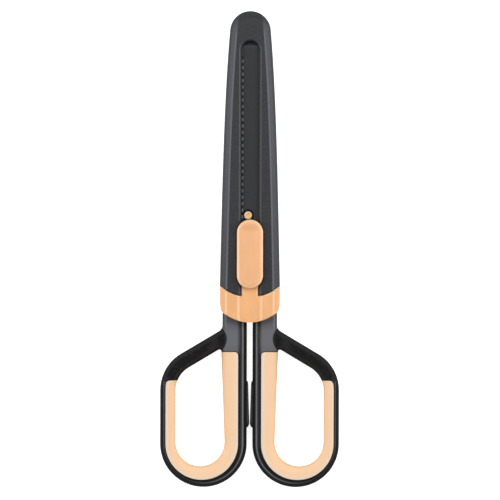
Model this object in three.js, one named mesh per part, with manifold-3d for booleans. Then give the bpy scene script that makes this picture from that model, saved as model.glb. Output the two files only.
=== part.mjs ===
// Decorative edge scissors in a protective sheath. The sheath's front carries a snap-off cutter on a slider.
// Millimetres, lying flat: +X to the right, +Y towards the sheath's tip, +Z up from the table.
// The origin is the middle of the footprint, on the table. The scissor halves share their handle, one turned
// over about the Y axis, so a half is drawn with its handle at +X.
import * as THREE from "three";
import { mergeVertices } from "three/addons/utils/BufferGeometryUtils.js";
import Module from "manifold-3d";

const wasm = await Module();
wasm.setup();

// ---- driving dimensions ----
const LENGTH = 215; // sheath's tip to the bottom of the handles
const FIT = 0.1; // gap between pieces that are fitted together
const FAR = 60; // reaches past every face of the object
const CURVE_STEPS = 9;

const sheath = {
  top: LENGTH / 2,
  tipRadius: 9.25,
  tipLean: THREE.MathUtils.degToRad(5), // the sides leave the tip's arc leaning out by this much
  shoulderY: -16, // below here the sides run straight
  halfWidth: 13.6, // at the mouth
  shellEndY: -21.72, // lowest point of the arc where the shells meet the collar
  shellEndRadius: 21,
  mouthY: -33.5, // lowest point of the collar's arc
  arcRadius: 19,
  partingZ: 6.55, // where the two shells meet
  faceZ: 15.2, // front face
  frontBevel: { width: 3, depth: 2 },
  backBevel: { width: 1.5, depth: 1.5 },
  sideWall: 1.0,
  backWall: 1.4,
};
const cavity = { floor: sheath.backWall, ceiling: 9.6, endY: sheath.top - 2.2 };
const collarBoreX = 12.35; // half-width of the mouth
const divider = { bottom: 9.7, top: 10.5 };

const track = {
  bottom: 10.6,
  top: 13.8,
  halfWidth: 5.2,
  wall: 0.6,
  startY: -21,
  endY: 93.4,
  lipLeft: -2.7, // inner edge of the toothed lip
  lipRight: 3.9,
  notchPitch: 2.933,
  notchWidth: 1.5,
  notchDepth: 1.2,
  notchCount: 27,
  restNotch: 26, // the one that holds the slider, counted from the tip
  lastNotchY: 86.2, // the notch nearest the tip
};
const windowSlot = { halfWidth: 4, rimWidth: 0.85, rimDepth: 0.7, endY: 93.9 };

const cutter = {
  halfWidth: 4.5,
  bottom: 12.7,
  top: 13.1,
  tailY: 10.2,
  endY: 91.9, // the end is square to the strip
  chamfer: 1.3, // its two corners are cut off
  holeRadius: 1.95,
};
const post = { radius: 1.85, y: 15, top: 13.9 };
const button = { halfWidth: 5.93, bottomY: -18.2, topY: 13.1, bottom: 16.35, top: 18.3, bevel: 0.7 };
const skirt = { halfWidth: 6.4, bottomY: -18.75, topY: 13.4, bottom: 15.27, top: 15.7, openHalf: 4.1 };

const pivotY = -12;
const midZ = 5.5; // the plane between the two blades
const bladeGap = 0.05;
const bladeThickness = 1.5;
const bladeLength = 107.5; // pivot to point
const edgeWave = { startR: 14, endR: 105.5, length: 6.1, height: 0.75, steps: 8 };

const half = {
  thickness: 2 * midZ,
  innerX: 1.29, // side that faces the other handle
  shankX: 12.4, // outer side of the shank
  mouthShankX: 12.05, // the same inside the collar
  shankTopY: pivotY - 9.6,
  shankBottom: 1.7, // the shank's underside inside the sheath
  outerX: 40.5,
  bowlY: -88.45, // centre height of the round bottom
  shoulder: { x: 21.5, y: -64.1 }, // centre of the loop's upper outer corner
  shoulderRadius: 19,
  barWidth: 7, // of the slanting bar, square to it
  slant: THREE.MathUtils.degToRad(59), // angle at which the corner's arc meets the slanting bar
  edgeBevel: 1.1,
};
const inlay = { innerX: 5.2, outerX: 38.15, topY: -46.9, outerEndY: -59.8, corner: 1.8 };
const loopHole = { topX: 12.85, topY: -46.5, bottomX: 11.38, outerX: 33.5, shoulderY: -64.35, bowlY: -87.6 };
const rib = { bottom: 3.4, top: 7.6, cover: 2.2 }; // the stiff core that the soft inlay wraps

// ---- shared tools ----
function solidOf(geometry) {
  const bare = new THREE.BufferGeometry().setAttribute("position", geometry.getAttribute("position"));
  if (geometry.index) bare.setIndex(geometry.index);
  const merged = mergeVertices(bare, 1e-4);
  return new wasm.Manifold(
    new wasm.Mesh({
      numProp: 3,
      vertProperties: new Float32Array(merged.getAttribute("position").array),
      triVerts: new Uint32Array(merged.index.array),
    }),
  );
}

function geometryOf(solid) {
  const mesh = solid.getMesh();
  return new THREE.BufferGeometry()
    .setAttribute("position", new THREE.BufferAttribute(mesh.vertProperties, 3))
    .setIndex(new THREE.BufferAttribute(mesh.triVerts, 1));
}

function prism(shape, bottom, top, steps = CURVE_STEPS) {
  const drawn = new THREE.ExtrudeGeometry(shape, {
    depth: top - bottom,
    bevelEnabled: false,
    curveSegments: steps,
  });
  return solidOf(drawn.translate(0, 0, bottom));
}

// A prism whose two ends are bevelled inwards from the shape's outline.
function bevelledPrism(shape, bottom, top, width, depth, { steps = CURVE_STEPS, rounds = 1 } = {}) {
  const drawn = new THREE.ExtrudeGeometry(shape, {
    depth: top - bottom - 2 * depth,
    bevelThickness: depth,
    bevelSize: width,
    bevelOffset: -width,
    bevelSegments: rounds,
    curveSegments: steps,
  });
  return solidOf(drawn.translate(0, 0, bottom + depth));
}

function block(x0, x1, y0, y1, z0, z1) {
  const drawn = new THREE.BoxGeometry(x1 - x0, y1 - y0, z1 - z0);
  return solidOf(drawn.translate((x0 + x1) / 2, (y0 + y1) / 2, (z0 + z1) / 2));
}

// A prism along X. The points are [y, z].
function sidePrism(points) {
  const drawn = new THREE.ExtrudeGeometry(polygon(points), { depth: 2 * FAR, bevelEnabled: false });
  return solidOf(drawn.translate(0, 0, -FAR).rotateX(Math.PI / 2).rotateZ(Math.PI / 2));
}

function slab(z0, z1) {
  return block(-FAR, FAR, -2 * LENGTH, 2 * LENGTH, z0, z1);
}

// A turned piece on a vertical axis at (x, y). The profile's points are [radius, height].
function turned(profile, x, y, sides = 24) {
  const points = profile.map(([r, z]) => new THREE.Vector2(r, z));
  return solidOf(new THREE.LatheGeometry(points, sides).rotateX(Math.PI / 2).translate(x, y, 0));
}

function polygon(points) {
  return new THREE.Shape(points.map(([x, y]) => new THREE.Vector2(x, y)));
}

function circleHole(x, y, radius) {
  return new THREE.Path().absarc(x, y, radius, 0, 2 * Math.PI, true);
}

function named(name, solid, material) {
  const mesh = new THREE.Mesh(geometryOf(solid), material);
  mesh.name = name;
  return mesh;
}

const plastic = (color, roughness) => new THREE.MeshStandardMaterial({ color, roughness, metalness: 0 });
const metal = (color, roughness) => new THREE.MeshStandardMaterial({ color, roughness, metalness: 1 });
const finish = {
  sheathBlack: plastic(0x3b3c40, 0.62),
  handleBlack: plastic(0x2a2a2d, 0.5),
  bumperBlack: plastic(0x141416, 0.8),
  inlayPeach: plastic(0xf9d1a6, 0.75),
  orange: plastic(0xf1b480, 0.5),
  steel: metal(0xc4c7ca, 0.28),
  screwSteel: metal(0xb5b8bb, 0.35),
  blackBlade: metal(0x38393d, 0.4),
  nylon: plastic(0xe6e4dc, 0.5),
  springSteel: metal(0x9a9c9f, 0.3),
};

// ---- the sheath ----

// The outline from above, running straight down to lowY. An inset moves every side inwards.
function sheathPlan(inset, lowY, topY = sheath.top - inset) {
  const radius = sheath.tipRadius - inset;
  const centreY = topY - radius;
  const lean = sheath.tipLean;
  const armX = radius * Math.cos(lean);
  const armY = centreY + radius * Math.sin(lean);
  const mouthX = sheath.halfWidth - inset;
  const tipHandle = [armX + 2.79, armY - 31.9];
  const shoulderY = sheath.shoulderY;
  const mouthHandle = [mouthX - 0.85, shoulderY + 38.4];
  const shape = new THREE.Shape();
  shape.moveTo(-mouthX, lowY);
  shape.lineTo(mouthX, lowY);
  shape.lineTo(mouthX, shoulderY);
  shape.bezierCurveTo(mouthHandle[0], mouthHandle[1], tipHandle[0], tipHandle[1], armX, armY);
  shape.absarc(0, centreY, radius, lean, Math.PI - lean, false);
  shape.bezierCurveTo(-tipHandle[0], tipHandle[1], -mouthHandle[0], mouthHandle[1], -mouthX, shoulderY);
  return shape;
}

// Everything above a round-bottomed line whose lowest point is at lowestY.
function aboveArc(lowestY, halfSpan = 16) {
  const radius = sheath.shellEndRadius;
  const spread = Math.asin(halfSpan / radius);
  const shape = new THREE.Shape();
  shape.absarc(0, lowestY + radius, radius, -Math.PI / 2 - spread, -Math.PI / 2 + spread, false);
  shape.lineTo(halfSpan, LENGTH);
  shape.lineTo(-halfSpan, LENGTH);
  return prism(shape, -FAR, FAR, 14);
}

function outerBody(plan) {
  const front = sheath.frontBevel;
  const back = sheath.backBevel;
  const upper = bevelledPrism(plan, -FAR, sheath.faceZ, front.width, front.depth);
  const lower = bevelledPrism(plan, 0, FAR, back.width, back.depth);
  return upper.intersect(lower);
}

const sheathBody = outerBody(sheathPlan(0, 2 * sheath.mouthY));
const cavityPlan = sheathPlan(sheath.sideWall, 2 * sheath.mouthY, cavity.endY);
const shellRegion = aboveArc(sheath.shellEndY + FIT / 2);

function windowPlan(halfWidth, topY) {
  const shape = new THREE.Shape();
  shape.moveTo(-halfWidth, 2 * sheath.mouthY);
  shape.lineTo(halfWidth, 2 * sheath.mouthY);
  shape.absarc(0, topY - halfWidth, halfWidth, 0, Math.PI, false);
  return shape;
}

function backShell() {
  const hollow = prism(cavityPlan, cavity.floor, FAR);
  return sheathBody
    .intersect(shellRegion)
    .intersect(slab(-1, sheath.partingZ - FIT / 2))
    .subtract(hollow);
}

function frontShell() {
  const hollow = prism(cavityPlan, 0, divider.top + FIT);
  const pocketX = track.halfWidth + FIT;
  const pocket = block(-pocketX, pocketX, -FAR, track.endY + FIT, divider.top, track.top + FIT);
  const through = prism(windowPlan(windowSlot.halfWidth, windowSlot.endY), track.top, FAR);
  const rim = bevelledPrism(
    windowPlan(windowSlot.halfWidth + 2 * windowSlot.rimWidth, windowSlot.endY + 2 * windowSlot.rimWidth),
    sheath.faceZ - windowSlot.rimDepth,
    FAR,
    2 * windowSlot.rimWidth,
    2 * windowSlot.rimDepth,
  );
  const exitX = cutter.halfWidth + 0.2;
  const exit = block(-exitX, exitX, track.endY - 1, FAR * 2, cutter.bottom - 0.25, cutter.top + 0.25);
  return sheathBody
    .intersect(shellRegion)
    .intersect(slab(sheath.partingZ + FIT / 2, FAR))
    .subtract(hollow)
    .subtract(pocket)
    .subtract(through)
    .subtract(rim)
    .subtract(exit);
}

function dividerPlate() {
  const plan = sheathPlan(sheath.sideWall + FIT, 2 * sheath.mouthY, cavity.endY - FIT);
  return prism(plan, divider.bottom, divider.top).intersect(aboveArc(sheath.shellEndY + 1));
}

// The steel channel that guides the cutter, with locking notches along its left lip.
function cutterTrack() {
  const { bottom, top, halfWidth, wall, startY, endY } = track;
  const lipUnderside = cutter.top + FIT;
  let made = block(-halfWidth, halfWidth, startY, endY, bottom, top)
    .subtract(block(wall - halfWidth, halfWidth - wall, -FAR, FAR * 2, bottom + wall, lipUnderside))
    .subtract(block(track.lipLeft, track.lipRight, -FAR, FAR * 2, lipUnderside - FIT, FAR));
  const notchEnd = track.lipLeft - track.notchDepth;
  for (let i = 0; i < track.notchCount; i++) {
    const y = track.lastNotchY - i * track.notchPitch;
    const halfNotch = track.notchWidth / 2;
    made = made.subtract(block(notchEnd, 0, y - halfNotch, y + halfNotch, lipUnderside - FIT, FAR));
  }
  return made;
}

function collar() {
  const bandX = 4.5;
  const bandZ = sheath.faceZ - 0.6;
  const mouthX = 12.9;
  const radius = sheath.arcRadius;
  const spread = Math.asin(mouthX / radius);
  const cornerY = sheath.mouthY + radius * (1 - Math.cos(spread));
  const wide = sheath.halfWidth + 0.1;
  const plan = new THREE.Shape();
  plan.absarc(0, sheath.mouthY + radius, radius, -Math.PI / 2 - spread, -Math.PI / 2 + spread);
  plan.quadraticCurveTo(wide - 0.05, cornerY + 2.5, wide, cornerY + 6.5);
  plan.lineTo(wide, 0);
  plan.lineTo(-wide, 0);
  plan.lineTo(-wide, cornerY + 6.5);
  plan.quadraticCurveTo(0.05 - wide, cornerY + 2.5, -mouthX, cornerY);
  const borePlan = sheathPlan(sheath.halfWidth - collarBoreX, 2 * sheath.mouthY);
  const bore = prism(borePlan, cavity.floor, cavity.ceiling);
  const ring = outerBody(sheathPlan(-0.1, 2 * sheath.mouthY))
    .intersect(prism(plan, -FAR, FAR, 10))
    .subtract(aboveArc(sheath.shellEndY - FIT / 2))
    .subtract(bore)
    .subtract(block(-bandX, bandX, -FAR, 0, bandZ, FAR));
  const tongueX = windowSlot.halfWidth - 0.2;
  const tongue = block(-tongueX, tongueX, sheath.shellEndY - 1.5, -14.2, track.top + FIT, bandZ);
  return ring.add(tongue);
}

// ---- the snap-off cutter ----
function capsule(halfWidth, bottomY, topY) {
  const shape = new THREE.Shape();
  shape.absarc(0, topY - halfWidth, halfWidth, 0, Math.PI, false);
  shape.absarc(0, bottomY + halfWidth, halfWidth, Math.PI, 2 * Math.PI, false);
  return shape;
}

const stem = { halfWidth: 2, y0: -8, y1: 5, top: 16.9 };
const springX = -2.3;
const neckLeft = -1.8;

function sliderButton() {
  const cap = bevelledPrism(
    capsule(button.halfWidth, button.bottomY, button.topY),
    button.bottom - button.bevel,
    button.top,
    button.bevel,
    button.bevel,
    { rounds: 3, steps: 12 },
  ).intersect(slab(button.bottom, FAR));
  const ease = 0.15;
  const x = stem.halfWidth + ease;
  return cap.subtract(block(-x, x, stem.y0 - ease, stem.y1 + ease, 0, stem.top + 0.75));
}

// The thin black plate under the button, which covers the window's edges. It is open over the collar's tongue.
function sliderSkirt() {
  const { openHalf } = skirt;
  const ease = 0.15;
  const x = stem.halfWidth + ease;
  return prism(capsule(skirt.halfWidth, skirt.bottomY, skirt.topY), skirt.bottom, skirt.top, 24)
    .subtract(block(-openHalf, openHalf, -FAR, -12.5, 0, FAR))
    .subtract(block(-x, x, stem.y0 - ease, stem.y1 + ease, 0, FAR));
}

function sliderCarriage() {
  const shoeTop = cutter.bottom - FIT;
  const neckRight = track.lipRight - 0.15;
  const springSlot = block(springX, springX + 1.6, -8.3, -7.5, 13.15, 14.45);
  const postFoot = shoeTop - 0.4;
  const postProfile = [[0, postFoot], [post.radius, postFoot], [post.radius, post.top], [0, post.top]];
  return block(-4.4, 4.4, -17, 18.2, track.bottom + track.wall + FIT, shoeTop)
    .add(turned(postProfile, 0, post.y))
    .add(block(neckLeft, neckRight, -10, cutter.tailY - 0.5, shoeTop - 0.4, 13.4))
    .add(block(neckLeft, neckRight, -10, 11.6, 13.25, 15.25))
    .add(block(-stem.halfWidth, stem.halfWidth, stem.y0, stem.y1, 15, stem.top))
    .subtract(springSlot);
}

// A strip of spring steel beside the slider's neck. Its tooth rests in one notch of the track.
function detentSpring() {
  const t = 0.3;
  const toothY = track.lastNotchY - track.restNotch * track.notchPitch;
  const inner = springX + t;
  const strip = polygon([
    [inner, -7.6],
    [inner, toothY - 0.95],
    [springX - 0.6, toothY],
    [inner, toothY + 0.85],
    [springX, toothY + 1],
    [springX - 1.1, toothY],
    [springX, toothY - 1],
    [springX, -8.15],
    [springX + 1.4, -8.15],
    [springX + 1.4, -7.6],
  ]);
  return prism(strip, 13.3, 14.3);
}

function cutterBlade() {
  const { halfWidth, tailY, endY, chamfer } = cutter;
  const shape = polygon([
    [-halfWidth, tailY], [halfWidth, tailY],
    [halfWidth, endY - chamfer], [halfWidth - chamfer, endY],
    [chamfer - halfWidth, endY], [-halfWidth, endY - chamfer],
  ]);
  shape.holes.push(circleHole(0, post.y, cutter.holeRadius));
  return prism(shape, cutter.bottom, cutter.top, 12);
}

// ---- one half of the scissors, with its handle at +X ----

// A blade from above. The edge's offset from the pivot makes the crossing point run out to the tip as the
// scissors close, and a wave of the same hand on both blades lets the scallops mesh there.
function bladeOutline(waveSign) {
  const { startR, endR, length, height, steps } = edgeWave;
  const count = Math.round(((endR - startR) / length) * steps);
  const edge = [];
  for (let i = 0; i <= count; i++) {
    const share = i / count;
    const r = startR + share * (endR - startR);
    const offset = THREE.MathUtils.lerp(2.9, 0.75, share);
    const fade = Math.min(1, 6 * share, 6 * (1 - share));
    const wave = height * fade * Math.sin((2 * Math.PI * (r - startR)) / length);
    const angle = (offset + waveSign * wave) / r;
    edge.push([r * Math.sin(angle), pivotY + r * Math.cos(angle)]);
  }
  const shape = new THREE.Shape();
  shape.moveTo(edge[0][0], edge[0][1]);
  edge.slice(1).forEach(([x, y]) => shape.lineTo(x, y));
  shape.quadraticCurveTo(0.4, pivotY + bladeLength, -0.5, pivotY + bladeLength);
  shape.quadraticCurveTo(-1.6, pivotY + bladeLength - 1.5, -2.1, pivotY + bladeLength - 4);
  shape.quadraticCurveTo(-6.9, pivotY + 64, -8.4, pivotY + 8);
  shape.lineTo(-8.4, pivotY);
  shape.absarc(0, pivotY, 8.4, Math.PI, THREE.MathUtils.degToRad(268), false);
  shape.lineTo(3.6, pivotY - 12);
  shape.lineTo(3.6, pivotY - 31);
  shape.lineTo(5.2, pivotY - 32.6);
  shape.lineTo(8.6, pivotY - 32.6);
  shape.lineTo(9.6, pivotY - 24);
  shape.lineTo(10.2, pivotY - 9);
  shape.quadraticCurveTo(9.2, pivotY + 3, 5.8, pivotY + 7.5);
  shape.quadraticCurveTo(3.2, pivotY + 10.5, edge[0][0], edge[0][1]);
  return shape;
}

function blade(waveSign) {
  const shape = bladeOutline(waveSign);
  shape.holes.push(circleHole(0, pivotY, 2.3));
  return prism(shape, midZ - bladeGap - bladeThickness, midZ - bladeGap, 6);
}

function handleOutline() {
  const { innerX, shankX, mouthShankX, outerX, bowlY, shoulder, shoulderRadius, slant, shankTopY } = half;
  const bowlX = (innerX + outerX) / 2;
  const bowlRadius = (outerX - innerX) / 2;
  const shape = new THREE.Shape();
  shape.moveTo(innerX, -26);
  shape.lineTo(innerX, bowlY);
  shape.absarc(bowlX, bowlY, bowlRadius, Math.PI, 2 * Math.PI, false);
  shape.absarc(shoulder.x, shoulder.y, shoulderRadius, 0, slant, false);
  shape.lineTo(14.2, -37.65);
  shape.quadraticCurveTo(shankX, -36.55, shankX, -34.9);
  shape.lineTo(shankX, -29.4);
  shape.lineTo(mouthShankX, -28.9);
  shape.lineTo(mouthShankX, -25);
  shape.lineTo(mouthShankX - 1.2, shankTopY);
  shape.lineTo(innerX + 1, shankTopY);
  return shape;
}

// The hole that the fingers go through. Growing it moves the sides that the inlay lines outwards.
function holeOutline(grow = 0) {
  const { topX, topY, bottomX, outerX, shoulderY, bowlY } = loopHole;
  const { shoulder, shoulderRadius, barWidth, slant } = half;
  const left = bottomX - grow;
  const right = outerX + grow;
  const innerRadius = shoulderRadius - barWidth;
  const shape = new THREE.Shape();
  shape.moveTo(topX - grow, topY);
  shape.lineTo(left, bowlY);
  shape.absarc((left + right) / 2, bowlY, (right - left) / 2, Math.PI, 2 * Math.PI, false);
  shape.absarc(shoulder.x, shoulderY, innerRadius + grow, 0, slant, false);
  shape.lineTo(14.6, -46.2 + grow);
  shape.quadraticCurveTo(13.2 - grow, -45.35 + grow, topX - grow, topY);
  return shape;
}

// Outside edge of the soft inlay. Its ends are joined by a line across the hole.
function inlayOutline(inset = 0) {
  const { topY, corner, outerEndY } = inlay;
  const { shoulder, bowlY } = half;
  const left = inlay.innerX + inset;
  const right = inlay.outerX - inset;
  const top = topY - inset;
  const end = outerEndY - inset;
  const reach = right - shoulder.x;
  const cornerAngle = Math.asin((end - corner - shoulder.y) / reach);
  const endX = shoulder.x + reach * Math.cos(Math.asin((end - shoulder.y) / reach));
  const shape = new THREE.Shape();
  shape.moveTo(left + corner, top);
  shape.quadraticCurveTo(left, top, left, top - corner);
  shape.lineTo(left, bowlY);
  shape.absarc((left + right) / 2, bowlY, (right - left) / 2, Math.PI, 2 * Math.PI, false);
  shape.absarc(shoulder.x, shoulder.y, reach, 0, cornerAngle, false);
  shape.quadraticCurveTo(endX, end, endX - corner, end);
  shape.lineTo(31, end);
  shape.lineTo(14, top);
  return shape;
}

// The slanting bar is thinner than the rest: this is the space above or below it.
function slantBarSpace() {
  const shape = new THREE.Shape();
  shape.moveTo(FAR, -59);
  shape.lineTo(FAR, -30);
  shape.lineTo(12.5, -30);
  shape.lineTo(12.5, -36);
  shape.quadraticCurveTo(8.2, -41, 12.5, -46);
  shape.lineTo(33, -59);
  return shape;
}

const plug = { x: 3, y0: -73, y1: -66.5, z0: 4.2, z1: 6.8 };

// The space over the shank, which thins on its way into the sheath.
function spaceOverShank() {
  const low = half.thickness - half.shankBottom;
  return sidePrism([[-47, half.thickness + 0.01], [-34, low], [0, low], [0, FAR], [-47, FAR]]);
}

function spaceUnderShank() {
  return sidePrism([[-47, -0.01], [-47, -FAR], [0, -FAR], [0, half.shankBottom], [-34, half.shankBottom]]);
}

// The room for the blade's tang, which slides into the shank from above.
function tangSlot() {
  const outline = polygon([
    [-0.6, pivotY - 8.5],
    [3.6 - FIT, pivotY - 12.2],
    [3.6 - FIT, pivotY - 31],
    [5.2 - FIT, pivotY - 32.6 - FIT],
    [8.6 + FIT, pivotY - 32.6 - FIT],
    [9.6 + FIT, pivotY - 24],
    [10.2 + FIT, pivotY - 8.5],
  ]);
  return prism(outline, midZ - bladeGap - bladeThickness - FIT, midZ - bladeGap + FIT);
}

function handleFrame() {
  const { thickness, edgeBevel } = half;
  const thinner = 0.8;
  const thinBar = prism(slantBarSpace(), -FAR, FAR, 8);
  const core = prism(inlayOutline(), rib.bottom, rib.top).subtract(prism(holeOutline(rib.cover), -1, FAR));
  const socket = block(0, plug.x + FIT, plug.y0 - FIT, plug.y1 + FIT, plug.z0 - FIT, plug.z1 + FIT);
  return bevelledPrism(handleOutline(), 0, thickness, edgeBevel, edgeBevel, { rounds: 2 })
    .subtract(prism(holeOutline(), -1, FAR))
    .subtract(prism(inlayOutline(), -1, FAR))
    .add(core)
    .subtract(thinBar.intersect(slab(-1, thinner)))
    .subtract(thinBar.intersect(slab(thickness - thinner, FAR)))
    .subtract(spaceOverShank())
    .subtract(spaceUnderShank())
    .subtract(tangSlot())
    .subtract(socket);
}

function gripInlay() {
  const { thickness } = half;
  const ease = 1.4; // bevel round the hole, for the fingers
  const room = prism(holeOutline(rib.cover - FIT), -FAR, FAR);
  const groove = slab(rib.bottom - FIT, rib.top + FIT).subtract(room);
  return prism(inlayOutline(FIT), 0, thickness)
    .subtract(prism(holeOutline(), -1, FAR))
    .subtract(bevelledPrism(holeOutline(ease), thickness - ease, FAR, ease, ease))
    .subtract(bevelledPrism(holeOutline(ease), -FAR, ease, ease, ease))
    .subtract(groove);
}

// The soft stop that meets its twin when the scissors close.
function bumper() {
  const back = half.innerX - 0.05;
  const pad = polygon([
    [back, -60], [back, -81.2], [0.9, -80.9], [0.13, -79.2], [0.64, -61.5], [0.95, -60.2],
  ]);
  const root = block(back - 0.2, plug.x, plug.y0, plug.y1, plug.z0, plug.z1);
  return prism(pad, 2.4, 8.6).add(root);
}

function scissorHalf(side, waveSign) {
  const made = new THREE.Group();
  made.add(
    named(`${side}_handle_frame`, handleFrame(), finish.handleBlack),
    named(`${side}_grip_inlay`, gripInlay(), finish.inlayPeach),
    named(`${side}_handle_bumper`, bumper(), finish.bumperBlack),
    named(`${side}_blade`, blade(waveSign), finish.steel),
  );
  return made;
}

// ---- the pivot ----
function pivotScrew() {
  const headBase = midZ + 2.15;
  const shank = [[0, 2.35], [2.1, 2.35], [2.1, headBase]];
  const head = [[4.2, headBase], [4.2, headBase + 0.6], [3.4, 9], [0, 9.25]];
  return turned([...shank, ...head], 0, pivotY).subtract(block(-5, 5, pivotY - 0.5, pivotY + 0.5, 8.4, FAR));
}

function ringShape(outer, inner) {
  const shape = new THREE.Shape().absarc(0, pivotY, outer, 0, 2 * Math.PI, false);
  shape.holes.push(circleHole(0, pivotY, inner));
  return shape;
}

const ring = (outer, inner, bottom, top) => prism(ringShape(outer, inner), bottom, top, 24);
const washerOuter = 3.9;
const boreRadius = 2.25;

// ---- assembly ----
const scissors = new THREE.Group();
scissors.name = "scissors_in_sheath";

const rightHalf = scissorHalf("right", 1);
const leftHalf = scissorHalf("left", -1);
leftHalf.rotation.y = Math.PI;
leftHalf.position.z = half.thickness;

const pivot = new THREE.Group();
pivot.add(
  named("pivot_screw", pivotScrew(), finish.screwSteel),
  named("front_washer", ring(washerOuter, boreRadius, midZ + 1.65, midZ + 2.05), finish.nylon),
  named("back_washer", ring(washerOuter, boreRadius, midZ - 2.05, midZ - 1.65), finish.nylon),
  named("pivot_nut", ring(4.1, boreRadius, 2.1, midZ - 2.15), finish.screwSteel),
);

const sheathGroup = new THREE.Group();
sheathGroup.add(
  named("sheath_front_shell", frontShell(), finish.sheathBlack),
  named("sheath_back_shell", backShell(), finish.sheathBlack),
  named("divider_plate", dividerPlate(), finish.sheathBlack),
  named("cutter_track", cutterTrack(), finish.blackBlade),
  named("mouth_collar", collar(), finish.orange),
);

const sliderGroup = new THREE.Group();
sliderGroup.add(
  named("slider_carriage", sliderCarriage(), finish.orange),
  named("slider_skirt", sliderSkirt(), finish.sheathBlack),
  named("slider_button", sliderButton(), finish.orange),
  named("detent_spring", detentSpring(), finish.springSteel),
  named("cutter_blade", cutterBlade(), finish.blackBlade),
);

scissors.add(rightHalf, leftHalf, pivot, sheathGroup, sliderGroup);

export default scissors;
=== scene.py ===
"""Decorative edge scissors in their sheath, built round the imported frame.

Sizes are millimetres, apart from the studio's, which are metres. A finished mesh is scaled to metres, with
its object at the origin.
"""

import logging
import math
from collections.abc import Sequence
from dataclasses import dataclass
from enum import Enum

import bmesh
import bpy
from mathutils import Matrix, Vector
from mathutils.geometry import interpolate_bezier


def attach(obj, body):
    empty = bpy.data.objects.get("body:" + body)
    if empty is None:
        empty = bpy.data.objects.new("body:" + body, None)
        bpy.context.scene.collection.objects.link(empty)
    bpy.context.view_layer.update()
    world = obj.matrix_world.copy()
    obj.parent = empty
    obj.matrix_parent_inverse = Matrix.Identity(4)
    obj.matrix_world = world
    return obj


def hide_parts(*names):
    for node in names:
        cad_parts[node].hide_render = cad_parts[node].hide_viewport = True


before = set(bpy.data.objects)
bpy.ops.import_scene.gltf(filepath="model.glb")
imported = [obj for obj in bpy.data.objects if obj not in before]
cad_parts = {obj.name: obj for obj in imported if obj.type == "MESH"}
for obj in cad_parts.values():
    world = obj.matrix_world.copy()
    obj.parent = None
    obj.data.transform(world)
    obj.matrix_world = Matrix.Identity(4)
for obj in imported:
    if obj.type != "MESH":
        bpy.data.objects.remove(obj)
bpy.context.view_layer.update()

METRE = 0.001  # one millimetre in metres
ACROSS = "across"  # a soft piece's own attribute: 0 at its outer seam, 1 at the finger hole's edge
HANDLE_THICKNESS = 11.0
PIVOT_Y = -12.0
BOWL_Y = -88.45  # middle of the handles' round bowls
BULGE = 2.15  # how far each slanting bar swells into its shank
BULGE_Y = -41.0  # middle of that swelling
BULGE_REACH = 5.0  # how far it reaches up and down the shank
log = logging.getLogger("scissors")

Loop = list[Vector]
Point = tuple[float, float]
Profile = Sequence[Point]
Colour = tuple[float, float, float, float]
Corners = list[bmesh.types.BMVert]


class Side(Enum):
    """Which half of the scissors a piece belongs to."""

    LEFT = "left"
    RIGHT = "right"


class Axis(Enum):
    """An axis of the object: across it or along it."""

    X = 0
    Y = 1


class Carving(Enum):
    """What one solid does to another."""

    CUT = "DIFFERENCE"
    JOIN = "UNION"
    KEEP = "INTERSECT"


# ---------------------------------------------------------------- outlines


class Outline:
    """A flat outline drawn point by point, in millimetres."""

    def __init__(self, x: float, y: float) -> None:
        """Starts the outline at one point."""
        self.points: Loop = [Vector((x, y))]

    def line(self, x: float, y: float, parts: int = 1) -> "Outline":
        """Draws a straight stretch.

        Args:
            x: where it ends.
            y: where it ends.
            parts: how many edges it is made of.

        Returns:
            The outline itself.
        """
        start = self.points[-1]
        end = Vector((x, y))
        self.points += [start.lerp(end, (i + 1) / parts) for i in range(parts)]
        return self

    def arc(self, x: float, y: float, turn: float, parts: int) -> "Outline":
        """Draws an arc from the last point.

        Args:
            x: the arc's centre.
            y: the arc's centre.
            turn: how far it turns, in degrees, anticlockwise when positive.
            parts: how many edges it is made of.

        Returns:
            The outline itself.
        """
        centre = Vector((x, y))
        arm = self.points[-1] - centre
        step = math.radians(turn) / parts
        self.points += [centre + Matrix.Rotation(step * (i + 1), 2) @ arm for i in range(parts)]
        return self

    def curve(self, first: Point, second: Point, end: Point, parts: int) -> "Outline":
        """Draws a cubic curve through two handles to its end.

        Args:
            first: the first handle.
            second: the second handle.
            end: where it ends.
            parts: how many edges it is made of.

        Returns:
            The outline itself.
        """
        knots = [self.points[-1], Vector(first), Vector(second), Vector(end)]
        self.points += interpolate_bezier(*knots, parts + 1)[1:]
        return self

    def corner(self, handle: Point, end: Point, parts: int) -> "Outline":
        """Draws a rounded corner with one handle.

        Args:
            handle: the corner that is rounded off.
            end: where it ends.
            parts: how many edges it is made of.

        Returns:
            The outline itself.
        """
        start = self.points[-1]
        middle = Vector(handle)
        stop = Vector(end)
        return self.curve(start.lerp(middle, 2 / 3), stop.lerp(middle, 2 / 3), stop, parts)


def mirrored(right: Loop) -> Loop:
    """Closes the right side of an outline with its mirror image across x = 0."""
    left = [Vector((-p.x, p.y)) for p in reversed(right)]
    return right + [p for p in left if abs(p.x) > 1e-3]


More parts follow.
